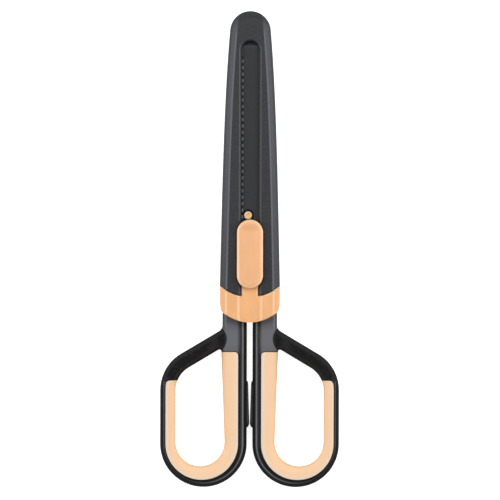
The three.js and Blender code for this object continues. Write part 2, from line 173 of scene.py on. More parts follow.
def inset(loop: Loop, distances: Sequence[float]) -> Loop:
    """Moves each side of a closed anticlockwise loop inwards by its own distance.

    Args:
        loop: the corners.
        distances: for each corner, how far the side that starts there moves.

    Returns:
        The new corners.
    """
    count = len(loop)
    moved = []
    for i, point in enumerate(loop):
        before = (point - loop[i - 1]).normalized()
        after = (loop[(i + 1) % count] - point).normalized()
        n1 = Vector((-before.y, before.x))
        n2 = Vector((-after.y, after.x))
        d1 = distances[i - 1]
        d2 = distances[i]
        cross = n1.x * n2.y - n1.y * n2.x
        if abs(cross) < 0.02:
            shift = (n1 + n2).normalized() * (d1 + d2) / 2
        else:
            shift = Vector((d1 * n2.y - d2 * n1.y, d2 * n1.x - d1 * n2.x)) / cross
        moved.append(point + shift)
    return moved


def lifted(loop: Loop, height: float) -> Loop:
    """Places a flat loop at a height."""
    return [Vector((p.x, p.y, height)) for p in loop]


def eased(value: float) -> float:
    """Limits a value to 0..1 and eases it in and out."""
    t = min(1.0, max(0.0, value))
    return t * t * (3 - 2 * t)


# ---------------------------------------------------------------- meshes


class Maker:
    """A mesh being made with bmesh operators, in millimetres."""

    def __init__(self) -> None:
        """Starts an empty mesh."""
        self.bm = bmesh.new()

    def ring(self, points: Loop) -> Corners:
        """Adds a closed wire.

        Args:
            points: the places that it passes through.

        Returns:
            Its corners.
        """
        verts = [self.bm.verts.new(p) for p in points]
        for i, vert in enumerate(verts):
            self.bm.edges.new((vert, verts[(i + 1) % len(verts)]))
        return verts

    def edges_of(self, verts: Corners) -> list[bmesh.types.BMEdge]:
        """Finds the edges round a ring of corners."""
        return [self.bm.edges.get((v, verts[(i + 1) % len(verts)])) for i, v in enumerate(verts)]

    def draw_on(self, verts: Corners, points: Loop) -> Corners:
        """Extrudes a ring to its next place.

        Args:
            verts: the ring's corners.
            points: where the new ring's corners go.

        Returns:
            The new ring's corners.
        """
        made = bmesh.ops.extrude_edge_only(self.bm, edges=self.edges_of(verts))["geom"]
        fresh = {g for g in made if isinstance(g, bmesh.types.BMVert)}
        pairs = [next(e.other_vert(v) for e in v.link_edges if e.other_vert(v) in fresh) for v in verts]
        for vert, point in zip(pairs, points):
            vert.co = point
        return pairs

    def loft(
        self, rings: Sequence[Loop], caps: bool = True, across: Sequence[float] = ()
    ) -> tuple[Corners, Corners]:
        """Draws a skin through rings that have the same number of corners.

        Args:
            rings: the rings in order.
            caps: closes the first and last rings with a face.
            across: for each corner of a ring, the value of its ACROSS attribute.

        Returns:
            The corners of the first ring and of the last.
        """
        layer = self.bm.verts.layers.float.new(ACROSS) if across else None
        first = self.ring(rings[0])
        last = first
        drawn = [first]
        for points in rings[1:]:
            last = self.draw_on(last, points)
            drawn.append(last)
        for verts in drawn:
            for vert, share in zip(verts, across):
                vert[layer] = share
        if caps:
            bmesh.ops.contextual_create(self.bm, geom=self.edges_of(first))
            bmesh.ops.contextual_create(self.bm, geom=self.edges_of(last))
        return first, last

    def fill_between(self, outer: Corners, inner: Corners) -> None:
        """Fills the flat space between two rings at one height."""
        edges = self.edges_of(outer) + self.edges_of(inner)
        bmesh.ops.triangle_fill(self.bm, use_beauty=True, edges=edges, normal=Vector((0, 0, 1)))

    def box(self, low: tuple, high: tuple, bevel: float = 0.0) -> "Maker":
        """Adds a box, with its edges rounded off if asked.

        Args:
            low: its lowest corner.
            high: its highest corner.
            bevel: the width of its rounded edges.

        Returns:
            The maker itself.
        """
        size = Vector(high) - Vector(low)
        place = Matrix.Translation((Vector(high) + Vector(low)) / 2) @ Matrix.Diagonal((*size, 1))
        verts = bmesh.ops.create_cube(self.bm, size=1, matrix=place)["verts"]
        if bevel:
            self.round_edges({e for v in verts for e in v.link_edges}, bevel)
        return self

    def turned(self, profile: Profile, x: float, y: float, steps: int = 48) -> "Maker":
        """Turns a profile into a closed round piece.

        Args:
            profile: its points as (radius, height), from the axis to the axis.
            x: the axis's place.
            y: the axis's place.
            steps: sides round the piece.

        Returns:
            The maker itself.
        """
        verts = [self.bm.verts.new((x + r, y, z)) for r, z in profile]
        edges = [self.bm.edges.new(pair) for pair in zip(verts, verts[1:])]
        bmesh.ops.spin(
            self.bm, geom=verts + edges, cent=(x, y, 0), axis=(0, 0, 1), angle=2 * math.pi,
            steps=steps, use_merge=True,
        )
        bmesh.ops.remove_doubles(self.bm, verts=self.bm.verts, dist=1e-4)
        return self

    def round_edges(self, edges: set[bmesh.types.BMEdge], width: float) -> None:
        """Rounds off some edges."""
        bmesh.ops.bevel(
            self.bm, geom=list(edges), offset=width, offset_type="OFFSET", segments=2,
            profile=0.5, affect="EDGES", material=-1, clamp_overlap=True,
        )

    def sliced(self, axis: Axis, places: Sequence[float]) -> None:
        """Cuts new edges across the mesh.

        Args:
            axis: the axis that the cuts are square to.
            places: where the cuts go along that axis.
        """
        normal = Vector((0, 0, 0))
        normal[axis.value] = 1
        for place in places:
            geom = self.bm.verts[:] + self.bm.edges[:] + self.bm.faces[:]
            bmesh.ops.bisect_plane(self.bm, geom=geom, dist=1e-4, plane_co=normal * place, plane_no=normal)

    def turn_over(self) -> None:
        """Turns the piece over about the Y axis, on to the other half of the scissors."""
        place = Matrix.Translation((0, 0, HANDLE_THICKNESS)) @ Matrix.Rotation(math.pi, 4, "Y")
        bmesh.ops.transform(self.bm, matrix=place, verts=self.bm.verts)

    def finish(self, name: str) -> bpy.types.Object:
        """Makes the object, in metres, with its faces looking outwards.

        Args:
            name: the object's name.

        Returns:
            The object.
        """
        bmesh.ops.recalc_face_normals(self.bm, faces=self.bm.faces)
        bmesh.ops.scale(self.bm, vec=(METRE, METRE, METRE), verts=self.bm.verts)
        mesh = bpy.data.meshes.new(name)
        self.bm.to_mesh(mesh)
        self.bm.free()
        piece = bpy.data.objects.new(name, mesh)
        bpy.context.scene.collection.objects.link(piece)
        return piece


def prism(loop: Loop, rim: Profile, weights: Sequence[float] | None = None) -> Maker:
    """Makes a solid with a flat outline, whose edges follow a rim profile.

    Args:
        loop: the outline.
        rim: (inset, height) pairs from one end to the other.
        weights: for each corner, how much of the inset the side starting there takes.

    Returns:
        The mesh.
    """
    made = Maker()
    shares = weights or [1.0] * len(loop)
    made.loft([lifted(inset(loop, [step * w for w in shares]), z) for step, z in rim])
    return made


def bar(section: Profile, start: float, end: float) -> Maker:
    """Makes a straight bar along Y.

    Args:
        section: its section, as (x, height) points.
        start: its lower end.
        end: its upper end.

    Returns:
        The mesh.
    """
    made = Maker()
    made.loft([[Vector((x, y, z)) for x, z in section] for y in (start, end)])
    return made


def carved(piece: bpy.types.Object, *tools: Maker, how: Carving = Carving.CUT) -> bpy.types.Object:
    """Cuts or joins a piece with other solids, which are used up.

    Args:
        piece: the piece that is kept.
        tools: the other solids.
        how: what they do to it.

    Returns:
        The piece.
    """
    for i, tool in enumerate(tools):
        other = tool.finish(f"tool_{i}")
        step = piece.modifiers.new("cut", "BOOLEAN")
        step.solver = "EXACT"
        step.operation = how.value
        step.object = other
        seen = piece.evaluated_get(bpy.context.evaluated_depsgraph_get())
        result = bpy.data.meshes.new_from_object(seen)
        piece.modifiers.clear()
        piece.data = result
        bpy.data.objects.remove(other)
    return piece


def shaded(piece: bpy.types.Object, crease: float = 32) -> bpy.types.Object:
    """Shades a piece smooth, with its flat faces kept flat.

    Args:
        piece: the piece.
        crease: the angle in degrees past which an edge stays sharp.

    Returns:
        The piece.
    """
    piece.data.shade_smooth()
    piece.data.set_sharp_from_angle(angle=math.radians(crease))
    weighted = piece.modifiers.new("even_shading", "WEIGHTED_NORMAL")
    weighted.keep_sharp = True
    weighted.weight = 80
    return piece


# ---------------------------------------------------------------- shader tools


class Value:
    """A number inside a material. Python's operators add the Math nodes."""

    def __init__(self, shader: "Shader", socket: bpy.types.NodeSocket) -> None:
        """Wraps one socket of a shader."""
        self.shader = shader
        self.socket = socket

    def maths(self, operation: str, *others: object) -> "Value":
        """Adds one Math node on this number and the others."""
        made = self.shader.node("ShaderNodeMath", {"operation": operation}, dict(enumerate((self, *others))))
        return Value(self.shader, made.outputs[0])

    def __add__(self, other: object) -> "Value":
        """Adds."""
        return self.maths("ADD", other)

    __radd__ = __add__

    def __mul__(self, other: object) -> "Value":
        """Multiplies."""
        return self.maths("MULTIPLY", other)

    __rmul__ = __mul__

    def __sub__(self, other: object) -> "Value":
        """Subtracts."""
        return self.maths("SUBTRACT", other)

    def __rsub__(self, other: object) -> "Value":
        """Subtracts this from a number."""
        return (self * -1.0) + other

    def __truediv__(self, other: object) -> "Value":
        """Divides."""
        return self.maths("DIVIDE", other)

    def __abs__(self) -> "Value":
        """Drops the sign."""
        return self.maths("ABSOLUTE")

    def step(self, low: float, high: float) -> "Value":
        """Makes a soft step.

        Args:
            low: the value where it is still 0.
            high: the value where it has become 1.

        Returns:
            The eased number.
        """
        settings = {"interpolation_type": "SMOOTHSTEP"}
        values = {"Value": self, "From Min": low, "From Max": high}
        return Value(self.shader, self.shader.node("ShaderNodeMapRange", settings, values).outputs[0])

    def between(self, rise: Point, fall: Point) -> "Value":
        """Marks a stretch: 1 from the end of its rise to the start of its fall."""
        return self.step(*rise) * (1 - self.step(*fall))


class Shader:
    """A procedural material under construction."""

    def __init__(self, name: str) -> None:
        """Starts a material with an empty tree.

        Args:
            name: the material's name.
        """
        self.material = bpy.data.materials.new(name)
        self.material.use_nodes = True
        self.tree = self.material.node_tree
        self.tree.nodes.clear()
        self.place = self.node("ShaderNodeTexCoord").outputs["Object"]

    def node(self, kind: str, settings: dict | None = None, values: dict | None = None) -> bpy.types.Node:
        """Adds a node.

        Args:
            kind: the node's type.
            settings: attributes that are set first.
            values: for each input, by name or number, a number, colour, socket or Value.

        Returns:
            The node.
        """
        made = self.tree.nodes.new(kind)
        for key, value in (settings or {}).items():
            setattr(made, key, value)
        for key, value in (values or {}).items():
            source = value.socket if isinstance(value, Value) else value
            if isinstance(source, bpy.types.NodeSocket):
                self.tree.links.new(source, made.inputs[key])
            else:
                made.inputs[key].default_value = source
        return made

    def axis(self, axis: Axis) -> Value:
        """Gives one coordinate of the surface, in millimetres."""
        split = self.node("ShaderNodeSeparateXYZ", values={"Vector": self.place})
        return Value(self, split.outputs[axis.name]) * (1 / METRE)

    def upward(self) -> Value:
        """Gives how far the surface faces up or down: 1 when it lies flat."""
        normal = self.node("ShaderNodeTexCoord").outputs["Normal"]
        return abs(Value(self, self.node("ShaderNodeSeparateXYZ", values={"Vector": normal}).outputs["Z"]))

    def walls(self, upright: float, level: float) -> Value:
        """Marks the walls: 1 where the surface faces less upward than upright, 0 past level."""
        return 1 - self.upward().step(upright, level)

    def tilted(self, steep: float, flat: float, blur: float = 6.0) -> Value:
        """Marks the surface between two tilts, such as a rounded edge.

        Args:
            steep: the steeper tilt, in degrees from flat.
            flat: the flatter tilt.
            blur: over how many degrees the mark fades in and out.

        Returns:
            1 between the tilts and 0 outside them.
        """
        lean = self.upward()
        out, start, stop, end = (math.cos(math.radians(t)) for t in (steep, steep - blur, flat, flat - blur))
        return lean.between((out, start), (stop, end))

    def away_from(self, x: float, y: float) -> Value:
        """Gives the distance from an upright axis.

        Args:
            x: the axis's place.
            y: the axis's place.

        Returns:
            Millimetres.
        """
        dx = self.axis(Axis.X) - x
        dy = self.axis(Axis.Y) - y
        return (dx * dx + dy * dy).maths("SQRT")

    def stretched(self, scale: tuple[float, float, float]) -> bpy.types.NodeSocket:
        """Gives the surface's place with each axis scaled."""
        return self.node("ShaderNodeMapping", values={"Vector": self.place, "Scale": scale}).outputs[0]

    def noise(self, size: float, detail: float = 2, vector: bpy.types.NodeSocket | None = None) -> Value:
        """Gives a cloudy pattern.

        Args:
            size: the width of its blotches, in millimetres.
            detail: how many finer layers it has.
            vector: coordinates in place of the plain ones.

        Returns:
            Values around 0.5.
        """
        values = {"Vector": vector or self.place, "Scale": 1 / (size * METRE), "Detail": detail}
        return Value(self, self.node("ShaderNodeTexNoise", values=values).outputs["Fac"])

    def cells(self, size: float) -> Value:
        """Gives a pebbled pattern of cells, as the distance to each cell's middle."""
        values = {"Vector": self.place, "Scale": 1 / (size * METRE)}
        return Value(self, self.node("ShaderNodeTexVoronoi", values=values).outputs["Distance"])

    def varied(self, middle: float, *patterns: tuple[Value, float]) -> Value:
        """Gives a number that wavers round its middle by an amount of each pattern."""
        return sum(((pattern - 0.5) * amount for pattern, amount in patterns), middle)

    def mix(self, share: object, first: object, second: object) -> bpy.types.NodeSocket:
        """Blends two colours.

        Args:
            share: how much of the second there is.
            first: a colour or socket.
            second: a colour or socket.

        Returns:
            The blended colour.
        """
        made = self.node("ShaderNodeMix", {"data_type": "RGBA"})
        for socket, value in ((made.inputs[0], share), (made.inputs[6], first), (made.inputs[7], second)):
            source = value.socket if isinstance(value, Value) else value
            if isinstance(source, bpy.types.NodeSocket):
                self.tree.links.new(source, socket)
            else:
                socket.default_value = source
        return made.outputs[2]

    def relief(self, height: Value, depth: float) -> dict[str, bpy.types.NodeSocket]:
        """Turns heights of 0 to 1 into surface relief.

        Args:
            height: the relief.
            depth: how deep it is, in millimetres.

        Returns:
            The surface's Normal input.
        """
        values = {"Height": height, "Distance": depth * METRE, "Strength": 1.0}
        return {"Normal": self.node("ShaderNodeBump", values=values).outputs[0]}

    def finish(self, base: object, rough: object, others: dict[str, object]) -> bpy.types.Material:
        """Closes the material with its surface.

        Args:
            base: its colour.
            rough: its roughness.
            others: the surface's other inputs, by name.

        Returns:
            The material.
        """
        values = {"Base Color": base, "Roughness": rough, **others}
        surface = self.node("ShaderNodeBsdfPrincipled", values=values)
        self.node("ShaderNodeOutputMaterial", values={"Surface": surface.outputs[0]})
        return self.material


def tone(red: float, green: float, blue: float) -> Colour:
    """Turns a display colour of 0 to 255 into the linear colour that a shader takes."""
    shares = (red / 255, green / 255, blue / 255)
    return (*(c / 12.92 if c <= 0.04045 else ((c + 0.055) / 1.055) ** 2.4 for c in shares), 1.0)


def scaled(colour: Colour, factor: float) -> Colour:
    """Makes a colour lighter or darker."""
    return (colour[0] * factor, colour[1] * factor, colour[2] * factor, 1.0)


# ---------------------------------------------------------------- finishes

# the warm white that painted highlights on satin plastic lean towards
WARM_WHITE = tone(255, 226, 190)


@dataclass(frozen=True)
class GrainedPlastic:
    """Moulded plastic with a spark-eroded grain, with painted highlights on its ridges and outer slopes and
    painted shade on its walls.
    """

    name: str
    colour: Colour
    grain: float = 0.8
    depth: float = 0.03
    roughness: float = 0.58
    mottle: float = 0.45
    second_tone: float = 6.0  # how much paler the painted highlight on its ridges and slopes is
    fading: Point = (-25, 60)  # along Y, where it goes from the mouth's tone to the tip's
    tip: Point = (96, 102.5)  # along Y, where the painted highlight on the ridges ends
    channel: Point = (5.4, 6.0)  # across, where the channel's rim gives way to the outer slopes
    channel_end: Point = (90.5, 94)  # along Y, where the rim goes round the channel's end

    def build(self) -> bpy.types.Material:
        """Builds the material.

        Returns:
            The material.
        """
        shader = Shader(self.name)
        fine = shader.noise(self.grain, 3)
        pits = shader.cells(self.grain * 1.4)
        cloud = shader.noise(9, 2)
        far = shader.axis(Axis.Y).step(*self.fading)
        shade = (fine - 0.5) * 2.2 + (pits - 0.45) * 0.9 + (cloud - 0.5) * 0.5 + far * 0.3 + 0.25
        plain = shader.mix(shade, scaled(self.colour, 1 - self.mottle), scaled(self.colour, 1 + self.mottle))
        sides = abs(shader.axis(Axis.X)).step(*self.channel)
        # painted highlight: the outer slopes paler, as if lit from the sides, more so towards the tip
        slope = shader.tilted(46, 30, 12) * sides * (far * 0.24 + 0.14)
        plain = shader.mix(slope, plain, scaled(self.colour, self.second_tone * 0.85))
        # painted highlight along the ridges, fainter round the channel's end
        ridge = shader.tilted(31, 9) * (1 - shader.axis(Axis.Y).step(*self.tip)) * (fine * 0.7 + 0.55)
        ridge = ridge * (1 - (1 - sides) * shader.axis(Axis.Y).step(*self.channel_end) * 0.75)
        plain = shader.mix(ridge, plain, scaled(self.colour, self.second_tone))
        # painted shade: the steep walls darkened nearly to black
        base = shader.mix(shader.walls(0.6, 0.84), plain, scaled(self.colour, 0.2))
        rough = shader.varied(self.roughness, (fine, 0.25), (cloud, 0.08))
        relief = shader.relief(fine * 0.6 + pits * 0.4, self.depth)
        return shader.finish(base, rough, {**relief, "Specular IOR Level": 0.5})


@dataclass(frozen=True)
class HandlePlastic:
    """Black moulded plastic, smooth on the shank and spine and coarse on the slanting bar, with a painted
    reflection on the shank's face and painted highlights along the rim's crest, the fold and the bar's edges.
    """

    name: str
    # the grey of the painted reflection and painted highlights
    sheen_tone: Colour
    coarse: Colour
    shank: Point = (12.2, 12.9)  # across, where the shank gives way to the bar
    bar_end: Point = (-60.6, -59.4)  # along Y, where the bar ends
    pad_side: Point = (4.1, 6.0)  # across, the inner side of the shank's face, which carries a painted reflection
    pad_outer: Point = (11.1, 11.8)  # across, its outer side
    pad_end: Point = (-48.5, -47.5)  # along Y, its lower end
    fold: Point = (11.7, 12.0)  # across, where the face folds down to the bar, marked with a painted highlight
    fold_end: Point = (-47, -46)  # along Y, the fold's lower end
    fold_top: Point = (-36, -35)  # along Y, its upper end
    bowl_x: float = 20.9
    bowl_radius: float = 19.6

    def build(self) -> bpy.types.Material:
        """Builds the material.

        Returns:
            The material.
        """
        shader = Shader(self.name)
        across = abs(shader.axis(Axis.X))
        along = shader.axis(Axis.Y)
        off_bulge = (along - BULGE_Y) / BULGE_REACH
        swollen = across + (1 - off_bulge * off_bulge).maths("MAXIMUM", 0.0) * BULGE
        beyond_shank = swollen.step(*self.shank)
        bar_face = beyond_shank * along.step(*self.bar_end)
        # painted reflection on the shank's face
        pad = across.between(self.pad_side, self.pad_outer) * along.step(*self.pad_end)
        # painted highlight along the fold down to the bar
        fold = swollen.step(*self.fold) * (1 - beyond_shank) * along.between(self.fold_end, self.fold_top)
        off_x = across - self.bowl_x
        off_y = (along - BOWL_Y).maths("MINIMUM", 0.0)
        depth = self.bowl_radius - (off_x * off_x + off_y * off_y).maths("SQRT")
        # painted highlight along the rim's crest, fainter round the outer bowl
        crest = depth.between((1.35, 1.65), (1.95, 2.3)) * (1 - across.step(8, 30) * 0.85)
        fine = shader.noise(0.5, 3)
        lumps = shader.noise(1.7, 2)
        wipe = shader.noise(5, 2)
        plain = shader.mix(pad, scaled(self.coarse, 1.1), self.sheen_tone)
        plain = shader.mix(crest.maths("MAXIMUM", fold * 0.8) * (1 - pad * 0.5), plain, self.sheen_tone)
        # painted highlight on the bar's rounded edges
        edge = shader.tilted(42, 8, 10) * 0.1
        base = shader.mix(bar_face, plain, shader.mix(edge, scaled(self.coarse, 0.4), self.sheen_tone))
        specks = (lumps * 0.5 + fine * 0.5).step(0.52, 0.66) * bar_face
        base = shader.mix(specks, base, scaled(self.coarse, 4.5))
        rim = (1 - depth.step(1.1, 1.6)) * 0.6
        rough = (bar_face * 0.5).maths("MAXIMUM", rim) + shader.varied(0.34, (wipe, 0.1), (fine, 0.06))
        relief = shader.relief((fine * 0.5 + lumps * 0.8) * bar_face + fine * 0.08, 0.16)
        return shader.finish(base, rough, {**relief, "Specular IOR Level": 0.3})


@dataclass(frozen=True)
class SatinPlastic:
    """Coloured plastic with a fine satin surface, faint flow marks, a painted highlight on its rounded edges
    and painted shade on its slanting faces and walls.
    """

    name: str
    colour: Colour
    roughness: float = 0.42
    depth: float = 0.008
    pale: float = 0.28  # how near the painted highlight on its rounded edges comes to white
    slope: float = 1.0  # how dark the painted shade on its slanting faces is
    rim: Point = (32, 8)  # between which tilts an edge gets the painted highlight

    def build(self) -> bpy.types.Material:
        """Builds the material.

        Returns:
            The material.
        """
        shader = Shader(self.name)
        fine = shader.noise(0.3, 2)
        flow = shader.noise(7, 3, shader.stretched((1.0, 0.35, 1.0)))
        plain = shader.mix(flow.step(0.3, 0.75), scaled(self.colour, 0.95), scaled(self.colour, 1.04))
        lighter = tuple(c + (w - c) * self.pale for c, w in zip(self.colour, WARM_WHITE))
        # painted shade on the slanting faces
        plain = shader.mix(shader.tilted(60, 33), plain, scaled(self.colour, self.slope))
        # painted highlight on the rounded edges
        base = shader.mix(shader.tilted(*self.rim), plain, lighter)
        # painted shade on the walls
        base = shader.mix(shader.walls(0.2, 0.6), base, scaled(self.colour, 0.8))
        rough = shader.varied(self.roughness, (fine, 0.2), (flow, 0.1))
        soft = {"Subsurface Weight": 0.05, "Subsurface Radius": (0.0012, 0.0006, 0.0003)}
        return shader.finish(base, rough, {**shader.relief(fine, self.depth), **soft})


@dataclass(frozen=True)
class SoftRubber:
    """Soft moulded rubber in its own tone, with a paler painted highlight fading in from its outer seam and
    painted shade on its walls.
    """

    name: str
    # the paler tone of the painted highlight along the outer seam
    seam: Colour
    # the rubber's own tone, deepest at the finger hole's edge
    second_tone: Colour

    def build(self) -> bpy.types.Material:
        """Builds the material.

        Returns:
            The material.
        """
        shader = Shader(self.name)
        fine = shader.noise(0.35, 2)
        cloud = shader.noise(6, 2)
        across = Value(shader, shader.node("ShaderNodeAttribute", {"attribute_name": ACROSS}).outputs["Fac"])
        # painted highlight: the seam's paler tone fades out across the inlay
        shade = across.step(0.02, 0.32) * 0.8 + across.step(0.6, 1.0) * 0.2
        base = shader.mix(shade + shader.varied(0.0, (cloud, 0.2), (fine, 0.1)), self.seam, self.second_tone)
        # painted shade on the walls
        base = shader.mix(shader.walls(0.2, 0.75), base, scaled(self.second_tone, 0.72))
        rough = shader.varied(0.6, (fine, 0.16), (cloud, 0.1))
        return shader.finish(base, rough, {**shader.relief(fine, 0.012), "Specular IOR Level": 0.3})


@dataclass(frozen=True)
class StopRubber:
    """Black rubber of the handles' stops, with a painted highlight in a grey line beside the gap between
    them.
    """

    name: str
    colour: Colour
    # the grey of the painted highlight line
    second_tone: Colour
    line_inner: Point = (0.55, 0.85)  # across, the two sides of the painted highlight line
    line_outer: Point = (1.1, 1.45)
    line_low: Point = (-80, -78)  # along Y, its two ends
    line_high: Point = (-62.5, -61)

    def build(self) -> bpy.types.Material:
        """Builds the material.

        Returns:
            The material.
        """
        shader = Shader(self.name)
        fine = shader.noise(0.4, 2)
        # painted highlight along a grey line
        line = abs(shader.axis(Axis.X)).between(self.line_inner, self.line_outer)
        line = line * shader.axis(Axis.Y).between(self.line_low, self.line_high)
        base = shader.mix(line * (fine * 0.6 + 0.6), self.colour, self.second_tone)
        rough = shader.varied(0.7, (fine, 0.2))
        return shader.finish(base, rough, {**shader.relief(fine, 0.012), "Specular IOR Level": 0.3})


@dataclass(frozen=True)
class BrushedSteel:
    """Steel with fine grinding lines across or along the piece."""

    name: str
    colour: Colour
    lines: tuple[float, float, float] = (1.0, 12.0, 1.0)
    roughness: float = 0.3

    def build(self) -> bpy.types.Material:
        """Builds the material.

        Returns:
            The material.
        """
        shader = Shader(self.name)
        grind = shader.noise(2.2, 4, shader.stretched(self.lines))
        smear = shader.noise(8, 2)
        base = shader.mix(grind, scaled(self.colour, 0.86), scaled(self.colour, 1.06))
        rough = shader.varied(self.roughness, (grind, 0.22), (smear, 0.12))
        return shader.finish(base, rough, {**shader.relief(grind, 0.006), "Metallic": 1.0})


@dataclass(frozen=True)
class CutterStrip:
    """Black-coated strip with fine slanting score lines, painted shadow in a dark ring round its hole and
    beside the lip, and a painted highlight on its end.
    """

    name: str
    colour: Colour
    pitch: float = 5.0
    slant: float = 0.55
    hole_x: float = -0.9
    hole_y: float = 15.0
    ring: Point = (2.4, 3.3)  # from the hole's middle, where the ring of painted shadow ends
    lip_shadow: Point = (-3.2, -2.9)  # across, where the painted shadow beside the lip ends
    end_highlight: Point = (91.0, 91.4)  # along Y, where the painted highlight on the strip's end starts

    def build(self) -> bpy.types.Material:
        """Builds the material.

        Returns:
            The material.
        """
        shader = Shader(self.name)
        streak = shader.noise(1.4, 3, shader.stretched((1.0, 0.06, 1.0)))
        cloud = shader.noise(5, 2)
        across = shader.axis(Axis.X)
        along = shader.axis(Axis.Y)
        off_line = abs(((along + across * self.slant) / self.pitch).maths("FRACT") - 0.5)
        score = 1 - off_line.step(0.008, 0.026)
        # painted shadow in a ring round the hole
        ring = 1 - shader.away_from(self.hole_x, self.hole_y).step(*self.ring)
        wear_and_highlight = streak.step(0.55, 0.8) * 0.3 + (cloud - 0.5) * 0.3 + 0.2
        plain = shader.mix(wear_and_highlight, self.colour, scaled(self.colour, 1.5))
        lined = shader.mix(score * 0.18, plain, scaled(self.colour, 0.3))
        # painted highlight on the strip's end
        lined = shader.mix(along.step(*self.end_highlight), lined, scaled(self.colour, 2.0))
        # painted shadow beside the lip, joined with the ring round the hole
        lip_shadow = 1 - across.step(*self.lip_shadow)
        base = shader.mix(ring.maths("MAXIMUM", lip_shadow), lined, scaled(self.colour, 0.06))
        rough = shader.varied(0.5, (streak, 0.2), (cloud, 0.1)) + ring * 0.3
        return shader.finish(base, rough, {**shader.relief(1 - score, 0.02), "Specular IOR Level": 0.4})


@dataclass(frozen=True)
class BlackCoat:
    """Black-coated steel, with faint streaks of wear along its length and a painted highlight on its teeth.
    """

    name: str
    colour: Colour
    # the pale grey of the painted highlight on the teeth
    wear_and_highlight: Colour
    roughness: float = 0.45
    teeth_root: Point = (-3.9, -3.45)  # across, where the teeth start
    teeth_tip: Point = (-2.4, -2.2)  # across, where they end
    teeth_end: Point = (86.8, 87.2)  # along Y, where the row ends

    def build(self) -> bpy.types.Material:
        """Builds the material.

        Returns:
            The material.
        """
        shader = Shader(self.name)
        streak = shader.noise(1.4, 3, shader.stretched((1.0, 0.06, 1.0)))
        cloud = shader.noise(5, 2)
        second_tone = streak.step(0.55, 0.8) * 0.35 + (cloud - 0.5) * 0.3 + 0.2
        plain = shader.mix(second_tone, self.colour, scaled(self.colour, 1.6))
        # painted highlight on the teeth between the notches
        teeth = shader.axis(Axis.X).between(self.teeth_root, self.teeth_tip)
        teeth = teeth * (1 - shader.axis(Axis.Y).step(*self.teeth_end))
        base = shader.mix(teeth, plain, self.wear_and_highlight)
        rough = shader.varied(self.roughness, (streak, 0.2), (cloud, 0.1))
        return shader.finish(base, rough, {**shader.relief(streak, 0.005), "Metallic": 0.2})


class Finish(Enum):
    """The finishes that the pieces take."""

    SHEATH = GrainedPlastic("grained_black_shell", tone(36, 37, 41))
    # a near-black plate whose colour is painted shadow round the button
    PAINTED_SHADOW = GrainedPlastic("painted_shadow_plate", tone(9, 6, 3), depth=0.004, roughness=0.9)
    HANDLE = HandlePlastic("moulded_black_handle", tone(94, 95, 100), tone(12, 12, 14))
    INLAY = SoftRubber("soft_peach_grip", tone(240, 219, 199), tone(250, 206, 162))
    STOP = StopRubber("soft_black_stop", tone(16, 16, 18), tone(66, 66, 70))
    ORANGE = SatinPlastic("satin_orange", tone(243, 182, 125), slope=0.84)
    RUNNER = SatinPlastic("pale_orange", tone(238, 192, 140))
    BUTTON = SatinPlastic("satin_orange_button", tone(244, 184, 134), pale=0.42, rim=(60, 25))
    BLADE = BrushedSteel("ground_blade", tone(205, 207, 210))
    PIVOT = BrushedSteel("turned_pivot", tone(190, 192, 195), (4.0, 4.0, 1.0), 0.34)
    TRACK = BlackCoat("coated_track", tone(32, 33, 36), tone(96, 97, 102))
    STRIP = CutterStrip("coated_strip", tone(37, 38, 42))
    SPRING = BrushedSteel("bright_spring", tone(170, 172, 176), (1.0, 6.0, 1.0))
    NYLON = SatinPlastic("white_nylon", tone(230, 228, 220), 0.5)

    def material(self) -> bpy.types.Material:
        """Builds the material once and gives it back."""
        return bpy.data.materials.get(self.value.name) or self.value.build()


@dataclass(frozen=True)
class Dressing:
    """What a finished piece stands for: its body, the solid it replaces, its slot and its finish."""

    body: str
    node: str
    slot: str
    finish: Finish

    def put_on(self, piece: bpy.types.Object) -> None:
        """Gives a piece its finish and ties it to the frame.

        Args:
            piece: the finished piece.
        """
        piece.data.materials.clear()
        piece.data.materials.append(self.finish.material())
        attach(piece, self.body)
        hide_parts(self.node)
        log.info("%s rides on %s, %d faces", piece.name, self.body, len(piece.data.polygons))


# ---------------------------------------------------------------- the sheath

BELOW = -70.0  # further down than the sheath reaches
ARC_RADIUS = 19.0  # of the collar's round lower edge
SEAM_RADIUS = 21.0  # of the round edges where the shell meets the collar


def arc_height(x: float, lowest: float, radius: float) -> float:
    """Gives the height of a round lower edge at x."""
    return lowest + radius - math.sqrt(radius**2 - x * x)


